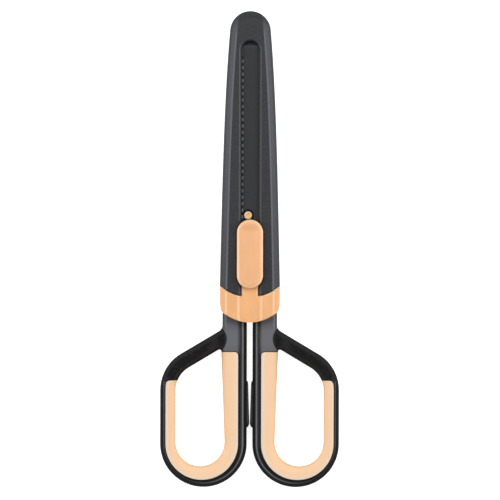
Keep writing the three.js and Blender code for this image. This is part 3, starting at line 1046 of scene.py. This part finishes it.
@dataclass
class Sheath:
    """The two shells and the collar."""

    top: float = 107.5
    tip_radius: float = 9.25
    shoulder: float = -16.0
    half_width: float = 13.6
    wall: float = 1.0
    cavity_top: float = 105.3
    shell_end: float = -21.5
    collar_top: float = -21.95
    mouth: float = -33.5
    mouth_x: float = 12.9
    window_half: float = 4.0
    window_top: float = 89.8
    heel: Profile = ((1.9, 0), (1.6, 0.03), (1.35, 0.14), (0.25, 1.2), (0.08, 1.45), (0, 1.8))
    ridge: Profile = (
        (0, 11.9), (0.07, 12.45), (0.26, 12.96), (0.58, 13.42), (1.02, 13.84), (1.6, 14.28), (2.2, 14.67),
        (2.62, 14.92), (2.86, 15.04), (3.1, 15.12), (3.35, 15.18), (3.65, 15.2),
    )

    def side(self, step: float, top: float) -> Loop:
        """Draws the sheath's right side, running straight down past the mouth.

        Args:
            step: how far it lies inside the outer side.
            top: the tip's place.

        Returns:
            The points, up to the middle of the tip.
        """
        radius = self.tip_radius - step
        lean = math.radians(5)
        centre = top - radius
        arm = (radius * math.cos(lean), centre + radius * math.sin(lean))
        wide = self.half_width - step
        drawn = Outline(wide, BELOW).line(wide, self.shoulder, 6)
        drawn.curve((wide - 0.85, self.shoulder + 38.4), (arm[0] + 2.79, arm[1] - 31.9), arm, 44)
        drawn.arc(0, centre, 85, 18)
        return drawn.points

    def plan(self, step: float, top: float) -> Loop:
        """Draws the whole plan at a step inside the outer side."""
        return mirrored(self.side(step, top))

    def above(self, lowest: float) -> Maker:
        """Builds the tool that keeps what lies above a round lower edge.

        Args:
            lowest: the edge's lowest place.

        Returns:
            The tool.
        """
        wide = 18.0
        reach = math.degrees(math.asin(wide / SEAM_RADIUS))
        low = arc_height(wide, lowest, SEAM_RADIUS)
        drawn = Outline(wide, low).line(wide, self.top + 20).line(-wide, self.top + 20)
        drawn.line(-wide, low).arc(0, lowest + SEAM_RADIUS, 2 * reach, 48)
        return prism(drawn.points[:-1], [(0, -5), (0, 30)])

    def front(self) -> bpy.types.Object:
        """Builds the front shell with its ridge, window and the slit for the cutter.

        Returns:
            The shell.
        """
        rim = [(0.15, 6.6), (0, 6.75), *self.ridge]
        body = prism(self.plan(0, self.top), rim).finish("sheath_front_shell")
        carved(body, self.above(self.shell_end), how=Carving.KEEP)
        hollow = prism(self.plan(self.wall, self.cavity_top), [(0, 0), (0, 10.6)])
        pocket = Maker().box((-5.3, BELOW, 9), (5.3, 93.5, 13.9))
        slit = Maker().box((-4.7, 92, 12.45), (4.7, 120, 13.35))
        return carved(body, hollow, pocket, self.window(), slit)

    def window(self) -> Maker:
        """Builds the tool that opens the cutter's window and rounds its rim.

        Returns:
            The tool.
        """
        drawn = Outline(self.window_half, BELOW).line(self.window_half, self.window_top, 4)
        drawn.arc(0, self.window_top, 90, 14)
        rim = [
            (0, 12), (0, 14.35), (-0.05, 14.5), (-0.2, 14.68), (-0.72, 15.05), (-0.88, 15.13), (-1.12, 15.21),
            (-1.12, 17),
        ]
        return prism(mirrored(drawn.points), rim)

    def back(self) -> bpy.types.Object:
        """Builds the back shell.

        Returns:
            The shell.
        """
        rim = [*self.heel, (0, 6.35), (0.15, 6.5)]
        body = prism(self.plan(0, self.top), rim).finish("sheath_back_shell")
        carved(body, self.above(self.collar_top + 0.05), how=Carving.KEEP)
        return carved(body, prism(self.plan(self.wall, self.cavity_top), [(0, 1.4), (0, 9)]))

    def collar(self) -> bpy.types.Object:
        """Builds the orange collar with its central band and the tongue under the slider.

        Returns:
            The collar.
        """
        wide = self.half_width + 0.1
        sides = Outline(wide, BELOW).line(wide, 0, 2).line(-wide, 0, 2).line(-wide, BELOW, 2).points
        body = prism(sides, [*self.heel, *self.ridge]).finish("mouth_collar")
        keep = [(0, -5), (0, 14.55), (0.08, 14.8), (0.26, 15.02), (0.55, 15.15), (0.9, 15.21), (0.9, 30)]
        carved(body, prism(self.collar_plan(), keep), how=Carving.KEEP)
        bore = prism(self.plan(self.half_width - 12.35, self.top), [(0, 1.4), (0, 9.6)])
        band = [
            (-4.4, 14.6), (4.4, 14.6), (4.8, 14.7), (5.5, 15.07), (5.9, 15.25), (5.9, 17), (-5.9, 17),
            (-5.9, 15.25), (-5.5, 15.07), (-4.8, 14.7),
        ]
        tongue = [
            (-3.8, 13.85), (3.8, 13.85), (3.8, 14.05), (3.7, 14.22), (3.3, 14.45), (2.8, 14.6), (-2.8, 14.6),
            (-3.3, 14.45), (-3.7, 14.22), (-3.8, 14.05),
        ]
        carved(body, bore, bar(band, BELOW, 5))
        return carved(body, bar(tongue, -25.0, -14.2), how=Carving.JOIN)

    def collar_plan(self) -> Loop:
        """Draws the collar from above: round at both ends, drawn in at its lower corners.

        Returns:
            The points.
        """
        wide = self.half_width + 0.2
        low = arc_height(self.mouth_x, self.mouth, ARC_RADIUS)
        spread = math.degrees(math.asin(self.mouth_x / ARC_RADIUS))
        drawn = Outline(-self.mouth_x, low).arc(0, self.mouth + ARC_RADIUS, 2 * spread, 36)
        drawn.corner((wide - 0.1, low + 2.5), (wide, low + 6.5), 8)
        drawn.line(wide, arc_height(wide, self.collar_top, SEAM_RADIUS))
        reach = math.degrees(math.asin(wide / SEAM_RADIUS))
        drawn.arc(0, self.collar_top + SEAM_RADIUS, -2 * reach, 36)
        drawn.line(-wide, low + 6.5)
        drawn.corner((0.1 - wide, low + 2.5), (-self.mouth_x, low), 8)
        return drawn.points[:-1]

    def build(self) -> None:
        """Builds and dresses the sheath's pieces."""
        Dressing("sheath", "sheath_front_shell", "sheath_black", Finish.SHEATH).put_on(shaded(self.front()))
        Dressing("sheath", "sheath_back_shell", "sheath_black", Finish.SHEATH).put_on(shaded(self.back()))
        Dressing("sheath", "mouth_collar", "orange", Finish.ORANGE).put_on(shaded(self.collar()))


# ---------------------------------------------------------------- the cutter


@dataclass
class Cutter:
    """The track with its notches, the strip, and the slider that carries it."""

    track_half: float = 5.2
    track_low: float = 10.6
    track_high: float = 13.8
    groove_low: float = 11.2
    groove_high: float = 13.2
    lip_left: float = -3.05
    lip_right: float = 3.9
    pitch: float = 2.933
    first_notch: float = 86.2
    notches: int = 27
    notch_depth: float = 1.2
    strip_half: float = 4.5
    strip_low: float = 10.2
    strip_high: float = 91.9
    post_x: float = -0.9
    post_y: float = 15.0
    button_half: float = 5.93
    button_low: float = -18.2
    button_high: float = 13.1
    dish_half: float = 4.7
    dish_depth: float = 0.42

    def track(self) -> bpy.types.Object:
        """Builds the steel track, with its locking notches along the left lip.

        Returns:
            The track.
        """
        w, low, high = self.track_half, self.track_low, self.track_high
        left, right = self.lip_left, self.lip_right
        inside, floor, ceiling = w - 0.6, self.groove_low, self.groove_high
        section = [
            (-w, low), (w, low), (w, high - 0.15), (w - 0.15, high), (right + 0.15, high),
            (right, high - 0.15), (right, ceiling), (inside, ceiling), (inside, floor), (-inside, floor),
            (-inside, ceiling), (left, ceiling), (left, high - 0.22), (left - 0.22, high),
            (0.15 - w, high), (-w, high - 0.15),
        ]
        body = bar(section, -21.0, 93.4).finish("cutter_track")
        cuts = Maker()
        root = left - self.notch_depth
        for i in range(self.notches):
            y = self.first_notch - i * self.pitch
            notch = Outline(left + 0.6, y - 0.98).line(left + 0.6, y + 0.98).line(left - 0.15, y + 0.8)
            notch.corner((root, y + 0.75), (root, y), 3).corner((root, y - 0.75), (left - 0.15, y - 0.8), 3)
            cuts.loft([lifted(notch.points, z) for z in (12.6, 15)])
        return carved(body, cuts)

    def strip(self) -> bpy.types.Object:
        """Builds the black cutter strip with the hole for the post.

        Returns:
            The strip.
        """
        wide, low, high = self.strip_half, self.strip_low, self.strip_high
        flat = wide - 1.3
        drawn = Outline(wide, low).line(wide, high - 1.3).line(flat, high)
        drawn.line(-flat, high).line(-wide, high - 1.3).line(-wide, low)
        rim = [(0.05, 12.7), (0, 12.75), (0, 13.02), (0.08, 13.1)]
        body = prism(drawn.points, rim).finish("cutter_blade")
        hole = [(0, 12), (1.85, 12), (1.85, 12.8), (2.4, 13.15), (2.4, 14), (0, 14)]
        return carved(body, Maker().turned(hole, self.post_x, self.post_y))

    def carriage(self) -> bpy.types.Object:
        """Builds the runner with its neck and the round post that holds the strip.

        Returns:
            The carriage.
        """
        body = Maker().box((-4.4, -17, 11.32), (4.4, 18.2, 12.6), 0.3).finish("slider_carriage")
        profile = [
            (0, 12.2), (1.77, 12.2), (1.77, 13.6), (1.68, 13.8), (1.45, 13.9), (1.05, 13.9), (0.85, 13.82),
            (0.7, 13.5), (0.5, 13.45), (0.3, 13.6), (0, 13.66),
        ]
        post = Maker().turned(profile, self.post_x, self.post_y)
        foot = Maker().box((-1.8, -10, 12.2), (3.75, 9.7, 13.4))
        neck = Maker().box((-1.8, -10, 13.25), (3.75, 11.6, 15.25))
        stem = Maker().box((-2, -8, 15), (2, 5, 16.9))
        return carved(body, post, foot, neck, stem, how=Carving.JOIN)

    def stem_hole(self, low: float, high: float) -> Maker:
        """Builds the tool that makes room for the carriage's stem between two heights."""
        return Maker().box((-2.15, -8.15, low), (2.15, 5.15, high))

    def button(self) -> bpy.types.Object:
        """Builds the thumb button: a capsule with a raised rim round a shallow dish.

        Returns:
            The button.
        """
        high = self.button_high
        rim = [
            (0.2, 16.35), (0.05, 16.42), (0, 16.55), (0, 16.85), (0.08, 17.2), (0.28, 17.52), (0.58, 17.8),
            (0.95, 18.02), (1.35, 18.15), (1.8, 18.18), (2.4, 18.14), (3.2, 18.08), (4.2, 18.06),
        ]
        made = prism(self.capsule(self.button_half, self.button_low, high, 14), rim)
        made.sliced(Axis.Y, [high - 12.6 + 0.75 * i for i in range(15)])
        for vert in made.bm.verts:
            across = eased((self.dish_half - abs(vert.co.x)) / 2.2)
            if vert.co.z > 17.8 and across:
                along = eased((vert.co.y - high + 12) / 7) * eased((high - 2.6 - vert.co.y) / 2.6)
                vert.co.z -= self.dish_depth * across * along
        return carved(made.finish("slider_button"), self.stem_hole(15, 17.3))

    def capsule(self, half: float, low: float, high: float, parts: int = 2) -> Loop:
        """Draws a long shape with round ends.

        Args:
            half: half its width.
            low: its lower end.
            high: its upper end.
            parts: how many edges each straight side has.

        Returns:
            The points.
        """
        drawn = Outline(half, low + half).line(half, high - half, parts).arc(0, high - half, 180, 32)
        return drawn.line(-half, low + half, parts).arc(0, low + half, 180, 32).points[:-1]

    def shadow_plate(self) -> bpy.types.Object:
        """Builds the thin plate under the button, open over the collar's tongue; its near-black colour is
        painted shadow round the button.

        Returns:
            The plate.
        """
        rim = [(0.06, 15.27), (0, 15.33), (0, 15.58), (0.12, 15.7)]
        body = prism(self.capsule(6.4, -18.75, 13.4), rim).finish("slider_skirt")
        mouth = Maker().box((-4.1, BELOW, 14), (4.1, -12.5, 17))
        return carved(body, mouth, self.stem_hole(14, 17))

    def build(self) -> None:
        """Builds and dresses the cutter's pieces."""
        slider = "cutter_slider"
        Dressing("sheath", "cutter_track", "track_black", Finish.TRACK).put_on(shaded(self.track()))
        Dressing(slider, "cutter_blade", "track_black", Finish.STRIP).put_on(shaded(self.strip()))
        Dressing(slider, "slider_carriage", "orange", Finish.RUNNER).put_on(shaded(self.carriage()))
        # the plate's near-black finish paints the shadow round the button
        Dressing(slider, "slider_skirt", "sheath_black", Finish.PAINTED_SHADOW).put_on(shaded(self.shadow_plate()))
        Dressing("button", "slider_button", "orange", Finish.BUTTON).put_on(shaded(self.button(), 50))


# ---------------------------------------------------------------- the scissors


@dataclass
class Handle:
    """One handle of the scissors, with its soft inlay and stop. It is drawn on the right."""

    side: Side
    inner: float = 1.29
    outer: float = 40.5
    shank: float = 12.4
    shank_top: float = -21.6
    shoulder: Point = (21.49, -64.1)
    slant: float = 59.0  # how far the shoulder turns, in degrees
    inlay_inner: float = 5.2
    inlay_outer: float = 38.15
    inlay_top: float = -46.9
    inlay_end: float = -59.8
    inlay_gap: float = 0.05
    corner_size: float = 1.8
    hole_shoulder_y: float = -64.35
    hole_radius: float = 12.0  # of the finger hole's shoulder
    hole_inner: float = 11.38
    hole_bowl_y: float = -87.6
    hole_top_x: float = 12.85
    pocket_share: float = 0.16  # of the rim's rounding, where the inlay covers it
    hole_share: float = 0.9  # of the rim's rounding, round the bare part of the hole
    stop_top: float = -60.0
    stop_end: float = -81.2
    thickness: float = HANDLE_THICKNESS
    rim: Profile = (
        (0.0, 8.2), (0.08, 8.95), (0.3, 9.62), (0.65, 10.17), (1.1, 10.6), (1.55, 10.86), (2.0, 11.0),
    )

    def full_rim(self) -> Profile:
        """Gives the rim's profile from the bottom face round to the top face."""
        return [(step, self.thickness - z) for step, z in reversed(self.rim)] + list(self.rim)

    def outline(self) -> Loop:
        """Draws the frame's outer edge.

        Returns:
            The points, anticlockwise.
        """
        cx, cy = self.shoulder
        drawn = Outline(self.inner, -26)
        drawn.line(self.inner, BOWL_Y, 30).arc((self.inner + self.outer) / 2, BOWL_Y, 180, 44)
        drawn.line(self.outer, cy, 10).arc(cx, cy, self.slant, 18)
        drawn.line(14.2, -37.65, 12)
        drawn.corner((self.shank, -36.55), (self.shank, -34.9), 5).line(self.shank, -29.4, 4)
        narrow = self.shank - 0.35
        drawn.line(narrow, -28.9).line(narrow, -25, 2)
        drawn.line(narrow - 1.2, self.shank_top).line(self.inner + 1, self.shank_top)
        return drawn.points

    def seam(self, gap: float, parts: tuple[int, int, int, int]) -> Outline:
        """Draws the inlay's outer seam, from the top of the shank round the bowl to the bar.

        Args:
            gap: how far it lies inside the pocket's side.
            parts: how many edges its inner side, bowl, outer side and shoulder have.

        Returns:
            The outline.
        """
        left, right = self.inlay_inner + gap, self.inlay_outer - gap
        top, end = self.inlay_top - gap, self.inlay_end - gap
        cx, cy = self.shoulder
        size = self.corner_size
        reach = right - cx
        turn = math.degrees(math.asin((end - size - cy) / reach))
        end_x = cx + math.sqrt(reach**2 - (end - cy) ** 2)
        inner_parts, bowl_parts, outer_parts, shoulder_parts = parts
        drawn = Outline(left + size, top).corner((left, top), (left, top - size), 6)
        drawn.line(left, BOWL_Y, inner_parts).arc((left + right) / 2, BOWL_Y, 180, bowl_parts)
        drawn.line(right, cy, outer_parts).arc(cx, cy, turn, shoulder_parts)
        return drawn.corner((end_x, end), (end_x - size, end), 6)

    def opening(self) -> tuple[Loop, list[float]]:
        """Draws the edge round the finger hole and the inlay's pocket.

        Returns:
            The points, and for each one the share of the rim's rounding that the side starting there takes.
        """
        top, end = self.inlay_top, self.inlay_end
        cx, hole_y = self.shoulder[0], self.hole_shoulder_y
        drawn = self.seam(0, (22, 40, 10, 4))
        drawn.line(cx + math.sqrt(self.hole_radius**2 - (end - hole_y) ** 2), end, 2)
        shares = [self.pocket_share] * (len(drawn.points) - 1)
        start = math.degrees(math.asin((end - hole_y) / self.hole_radius))
        drawn.arc(cx, hole_y, self.slant - start, 14).line(14.6, -46.2, 10)
        drawn.corner((13.2, -45.35), (self.hole_top_x, -46.5), 5).line(self.hole_top_x - 0.02, top)
        shares += [self.hole_share] * (len(drawn.points) - 1 - len(shares))
        drawn.line(self.inlay_inner + self.corner_size, top, 3)
        shares += [self.pocket_share] * (len(drawn.points) - 1 - len(shares))
        return drawn.points[:-1], shares

    def half_height(self, x: float, y: float) -> float:
        """Gives half of the frame's thickness at a place.

        Args:
            x: distance from the scissors' middle line.
            y: place along it.

        Returns:
            Half the thickness there.
        """
        shank = self.thickness / 2 - 1.7 * eased((y + 48) / 14.5)  # thinner towards the collar
        spine = 0.42 * (1 - eased((x - 2.6) / 2.0))  # a lower strip along the inner edge
        thin = 4.7 - 0.75 * math.exp(-(((x - 12.5) / 5) ** 2))  # the bar, thinnest by the shank
        swollen = x + BULGE * max(0.0, 1 - ((y - BULGE_Y) / BULGE_REACH) ** 2)
        on_bar = eased((swollen - 12.1) / 1.1) * eased((y + 60.6) / 1.4)
        return (shank - spine) * (1 - on_bar) + min(thin, shank) * on_bar

    def frame(self) -> bpy.types.Object:
        """Builds the black frame.

        Returns:
            The frame.
        """
        made = Maker()
        loop = self.outline()
        gap, shares = self.opening()
        rim = self.full_rim()
        low, high = made.loft([lifted(inset(loop, [step] * len(loop)), z) for step, z in rim], caps=False)
        rings = [lifted(inset(gap, [-step * share for share in shares]), z) for step, z in rim]
        low_gap, high_gap = made.loft(rings, caps=False)
        made.fill_between(high, high_gap)
        made.fill_between(low, low_gap)
        made.sliced(Axis.X, [3.2, 3.7, 4.2, 4.65, *[9.4 + 0.45 * i for i in range(14)]])
        made.sliced(Axis.Y, [-60.5, -60.0, -59.4, *[-48 + 1.0 * i for i in range(15)]])
        middle = self.thickness / 2
        for vert in made.bm.verts:
            share = self.half_height(vert.co.x, vert.co.y) / middle
            vert.co.z = middle + (vert.co.z - middle) * share
        return self.placed(made, "handle_frame")

    def inlay(self) -> bpy.types.Object:
        """Builds the soft lining of the finger loop as one swept U.

        Returns:
            The inlay.
        """
        top, end = self.inlay_top - self.inlay_gap, self.inlay_end - self.inlay_gap
        cx, hole_y = self.shoulder[0], self.hole_shoulder_y
        left, right = self.hole_inner, cx + self.hole_radius
        edge = self.seam(self.inlay_gap, (26, 44, 12, 3))
        hole = Outline(self.hole_top_x, top).line(self.hole_top_x - 0.06, top - self.corner_size, 6)
        hole.line(left, self.hole_bowl_y, 26).arc((left + right) / 2, self.hole_bowl_y, 180, 44)
        hole.line(right, hole_y, 12)
        hole.arc(cx, hole_y, math.degrees(math.asin((end - hole_y) / self.hole_radius)), 9)
        section = [
            (0.0, 10.72), (0.012, 10.9), (0.035, 11.0), (0.12, 11.06), (0.3, 11.08), (0.48, 11.0),
            (0.64, 10.8), (0.77, 10.42), (0.87, 9.85), (0.94, 9.1), (0.985, 8.1), (1.0, 7.0),
        ]
        whole = section + [(share, self.thickness - z) for share, z in reversed(section)]
        rings = []
        for outer, inner in zip(edge.points, hole.points):
            rings.append([outer.lerp(inner, share).to_3d() + Vector((0, 0, z)) for share, z in whole])
        made = Maker()
        made.loft(rings, across=[share for share, _ in whole])
        return self.placed(made, "grip_inlay")

    def stop(self) -> bpy.types.Object:
        """Builds the soft stop on the handle's inner side.

        Returns:
            The stop.
        """
        back = self.inner - 0.03
        top, end = self.stop_top, self.stop_end
        drawn = Outline(back + 0.6, top).line(back + 0.6, end).line(back, end).line(0.86, end + 0.3)
        drawn.corner((0.2, -80.2), (0.13, -79.2), 4).line(0.64, -61.5, 4)
        drawn.corner((0.72, -60.5), (0.98, -60.1), 4).line(back, top)
        rim = [(0.3, 2.4), (0.08, 2.5), (0, 2.75), (0, 8.25), (0.08, 8.5), (0.3, 8.6)]
        return self.placed(prism(drawn.points[-2::-1], rim), "handle_bumper")

    def placed(self, made: Maker, kind: str) -> bpy.types.Object:
        """Makes a piece's object, turned over if it belongs on the left.

        Args:
            made: the piece.
            kind: its name without its side.

        Returns:
            The object.
        """
        if self.side is Side.LEFT:
            made.turn_over()
        return made.finish(f"{self.side.value}_{kind}")

    def build(self) -> None:
        """Builds and dresses the handle's pieces."""
        name = self.side.value
        rows = (
            ("handle_frame", "handle_black", Finish.HANDLE, self.frame, 40),
            ("grip_inlay", "inlay_peach", Finish.INLAY, self.inlay, 50),
            ("handle_bumper", "bumper_black", Finish.STOP, self.stop, 40),
        )
        for kind, slot, finish, make, crease in rows:
            Dressing(f"{name}_half", f"{name}_{kind}", slot, finish).put_on(shaded(make(), crease))


@dataclass
class Blade:
    """One scissor blade with a scalloped edge, drawn for the right half."""

    side: Side
    length: float = 107.5
    start: float = 14.0
    end: float = 105.5
    wave_length: float = 6.1
    wave_height: float = 0.75
    steps: int = 10  # edges to one wave
    heel_offset: float = 2.9  # how far the edge runs past the middle line by the pivot
    tip_offset: float = 0.75  # and by the tip
    low: float = 3.95
    high: float = 5.45

    def edge(self, share: float) -> Point:
        """Gives a place on the scalloped edge.

        Args:
            share: how far along the edge it lies, from 0 by the pivot to 1 by the tip.

        Returns:
            The place.
        """
        sign = 1 if self.side is Side.RIGHT else -1
        r = self.start + share * (self.end - self.start)
        offset = self.heel_offset + (self.tip_offset - self.heel_offset) * share
        fade = min(1.0, 6 * share, 6 * (1 - share))
        wave = sign * self.wave_height * fade * math.sin(2 * math.pi * (r - self.start) / self.wave_length)
        angle = (offset + wave) / r
        return r * math.sin(angle), PIVOT_Y + r * math.cos(angle)

    def outline(self) -> tuple[Loop, list[float]]:
        """Draws the blade anticlockwise.

        Returns:
            The points, and for each one how much of the grinding the side starting there takes.
        """
        count = round((self.end - self.start) / self.wave_length * self.steps)
        first = self.edge(0)
        drawn = Outline(*first)
        for i in range(count):
            drawn.line(*self.edge((i + 1) / count))
        tip = PIVOT_Y + self.length
        drawn.corner((0.4, tip), (-0.5, tip), 3).corner((-1.6, tip - 1.5), (-2.1, tip - 4), 3)
        drawn.corner((-6.9, PIVOT_Y + 64), (-8.4, PIVOT_Y + 8), 24).line(-8.4, PIVOT_Y, 2)
        drawn.arc(0, PIVOT_Y, 88, 16)
        for x, y in ((3.6, -12), (3.6, -31), (5.2, -32.6), (8.6, -32.6), (9.6, -24), (10.2, -9)):
            drawn.line(x, PIVOT_Y + y)
        drawn.corner((9.2, PIVOT_Y + 3), (5.8, PIVOT_Y + 7.5), 8)
        drawn.corner((3.2, PIVOT_Y + 10.5), first, 5)
        shares = [1.0] * count + [0.1] * (len(drawn.points) - 1 - count)
        return drawn.points[:-1], shares

    def build(self) -> None:
        """Builds and dresses the blade."""
        loop, shares = self.outline()
        rim = [(0.95, self.low), (0.1, self.high - 0.35), (0.0, self.high - 0.1), (0.03, self.high)]
        made = prism(loop, rim, shares)
        if self.side is Side.LEFT:
            made.turn_over()
        name = f"{self.side.value}_blade"
        bore = Maker().turned([(0, 0), (2.3, 0), (2.3, 11), (0, 11)], 0, PIVOT_Y)
        piece = shaded(carved(made.finish(name), bore), 25)
        Dressing(f"{self.side.value}_half", name, "blade_steel", Finish.BLADE).put_on(piece)


@dataclass
class Pivot:
    """The screw and the nut that the halves turn on."""

    head_base: float = 7.65
    radius: float = 2.1

    def screw(self) -> bpy.types.Object:
        """Builds the screw with a domed, slotted head.

        Returns:
            The screw.
        """
        base = self.head_base
        profile = [
            (0, 2.35), (1.9, 2.35), (self.radius, 2.5), (self.radius, base), (4.05, base), (4.2, base + 0.15),
            (4.2, base + 0.55), (4.1, base + 0.75), (3.8, base + 0.95), (3.0, base + 1.25), (1.6, base + 1.5),
            (0, base + 1.58),
        ]
        body = Maker().turned(profile, 0, PIVOT_Y, 56).finish("pivot_screw")
        slot = Maker().box((-6, PIVOT_Y - 0.5, base + 0.8), (6, PIVOT_Y + 0.5, 12))
        return carved(body, slot)

    def nut(self) -> bpy.types.Object:
        """Builds the flat round nut."""
        profile = [(2.25, 2.25), (2.4, 2.1), (3.85, 2.1), (4.1, 2.3), (4.1, 3.15), (3.9, 3.35), (2.25, 3.35)]
        return Maker().turned([*profile, profile[0]], 0, PIVOT_Y, 56).finish("pivot_nut")

    def build(self) -> None:
        """Builds and dresses the pivot's pieces."""
        Dressing("pivot", "pivot_screw", "pivot_steel", Finish.PIVOT).put_on(shaded(self.screw(), 40))
        Dressing("pivot", "pivot_nut", "pivot_steel", Finish.PIVOT).put_on(shaded(self.nut(), 40))


CARRIED_OVER = {
    "front_washer": Finish.NYLON,
    "back_washer": Finish.NYLON,
    "divider_plate": Finish.SHEATH,
    "detent_spring": Finish.SPRING,
}


def dress_carried_over() -> None:
    """Gives the solids that are kept as they are their finishes."""
    for node, finish in CARRIED_OVER.items():
        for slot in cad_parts[node].material_slots:
            slot.material = finish.material()
        log.info("%s keeps its solid", node)


# ---------------------------------------------------------------- the studio


@dataclass
class Studio:
    """The floor, the lights and the camera, in metres."""

    camera_height: float = 6.0
    camera_offset: Point = (0.00002, -0.0007)
    view_width: float = 0.2263
    top_face: float = 0.013
    roll: float = 0.14
    floor_half: float = 2.5
    floor_drop: float = 0.0001
    floor_glow: float = 0.88
    surround: float = 0.25

    def floor(self) -> None:
        """Lays a plain pale floor."""
        made = Maker()
        bmesh.ops.create_grid(made.bm, x_segments=1, y_segments=1, size=self.floor_half / METRE)
        floor = made.finish("floor")
        floor.location.z = -self.floor_drop
        shader = Shader("floor_white")
        base = shader.mix(shader.noise(300, 2), (0.78, 0.78, 0.78, 1), (0.82, 0.82, 0.82, 1))
        glow = {"Emission Color": (1, 1, 1, 1), "Emission Strength": self.floor_glow}
        floor.data.materials.append(shader.finish(base, 0.9, glow))

    def light(self, name: str, place: tuple[float, float, float], size: Point, power: float) -> None:
        """Hangs a soft light that looks at the object.

        Args:
            name: its name.
            place: where it hangs.
            size: its width and length.
            power: its power, in watts.
        """
        data = bpy.data.lights.new(name, "AREA")
        data.shape = "RECTANGLE"
        data.size, data.size_y = size
        data.energy = power
        lamp = bpy.data.objects.new(name, data)
        lamp.location = place
        lamp.rotation_euler = (-Vector(place)).to_track_quat("-Z", "Y").to_euler()
        bpy.context.scene.collection.objects.link(lamp)

    def camera(self) -> None:
        """Looks straight down on the object."""
        data = bpy.data.cameras.new("camera")
        data.lens = data.sensor_width * (self.camera_height - self.top_face) / self.view_width
        data.clip_end = 20
        camera = bpy.data.objects.new("camera", data)
        camera.location = (*self.camera_offset, self.camera_height)
        camera.rotation_euler = (0, 0, math.radians(self.roll))
        bpy.context.scene.collection.objects.link(camera)
        bpy.context.scene.camera = camera

    def build(self) -> None:
        """Builds the studio."""
        self.floor()
        self.camera()
        self.light("left_light", (-0.95, 0.1, 0.6), (0.5, 1.3), 7.2)
        self.light("right_light", (0.95, 0.1, 0.6), (0.5, 1.3), 7.9)
        self.light("top_light", (0.0, 0.6, 1.3), (1.2, 0.6), 6.0)
        world = bpy.data.worlds.new("soft_surround")
        world.use_nodes = True
        background = world.node_tree.nodes["Background"]
        background.inputs["Color"].default_value = (1, 1, 1, 1)
        background.inputs["Strength"].default_value = self.surround
        bpy.context.scene.world = world
        bpy.context.scene.view_settings.view_transform = "Standard"


def main() -> None:
    """Builds the studio and every piece."""
    logging.basicConfig(level=logging.INFO, format="%(name)s: %(message)s")
    Studio().build()
    Sheath().build()
    Cutter().build()
    for side in Side:
        Handle(side).build()
        Blade(side).build()
    Pivot().build()
    dress_carried_over()


if __name__ == "__main__":
    main()
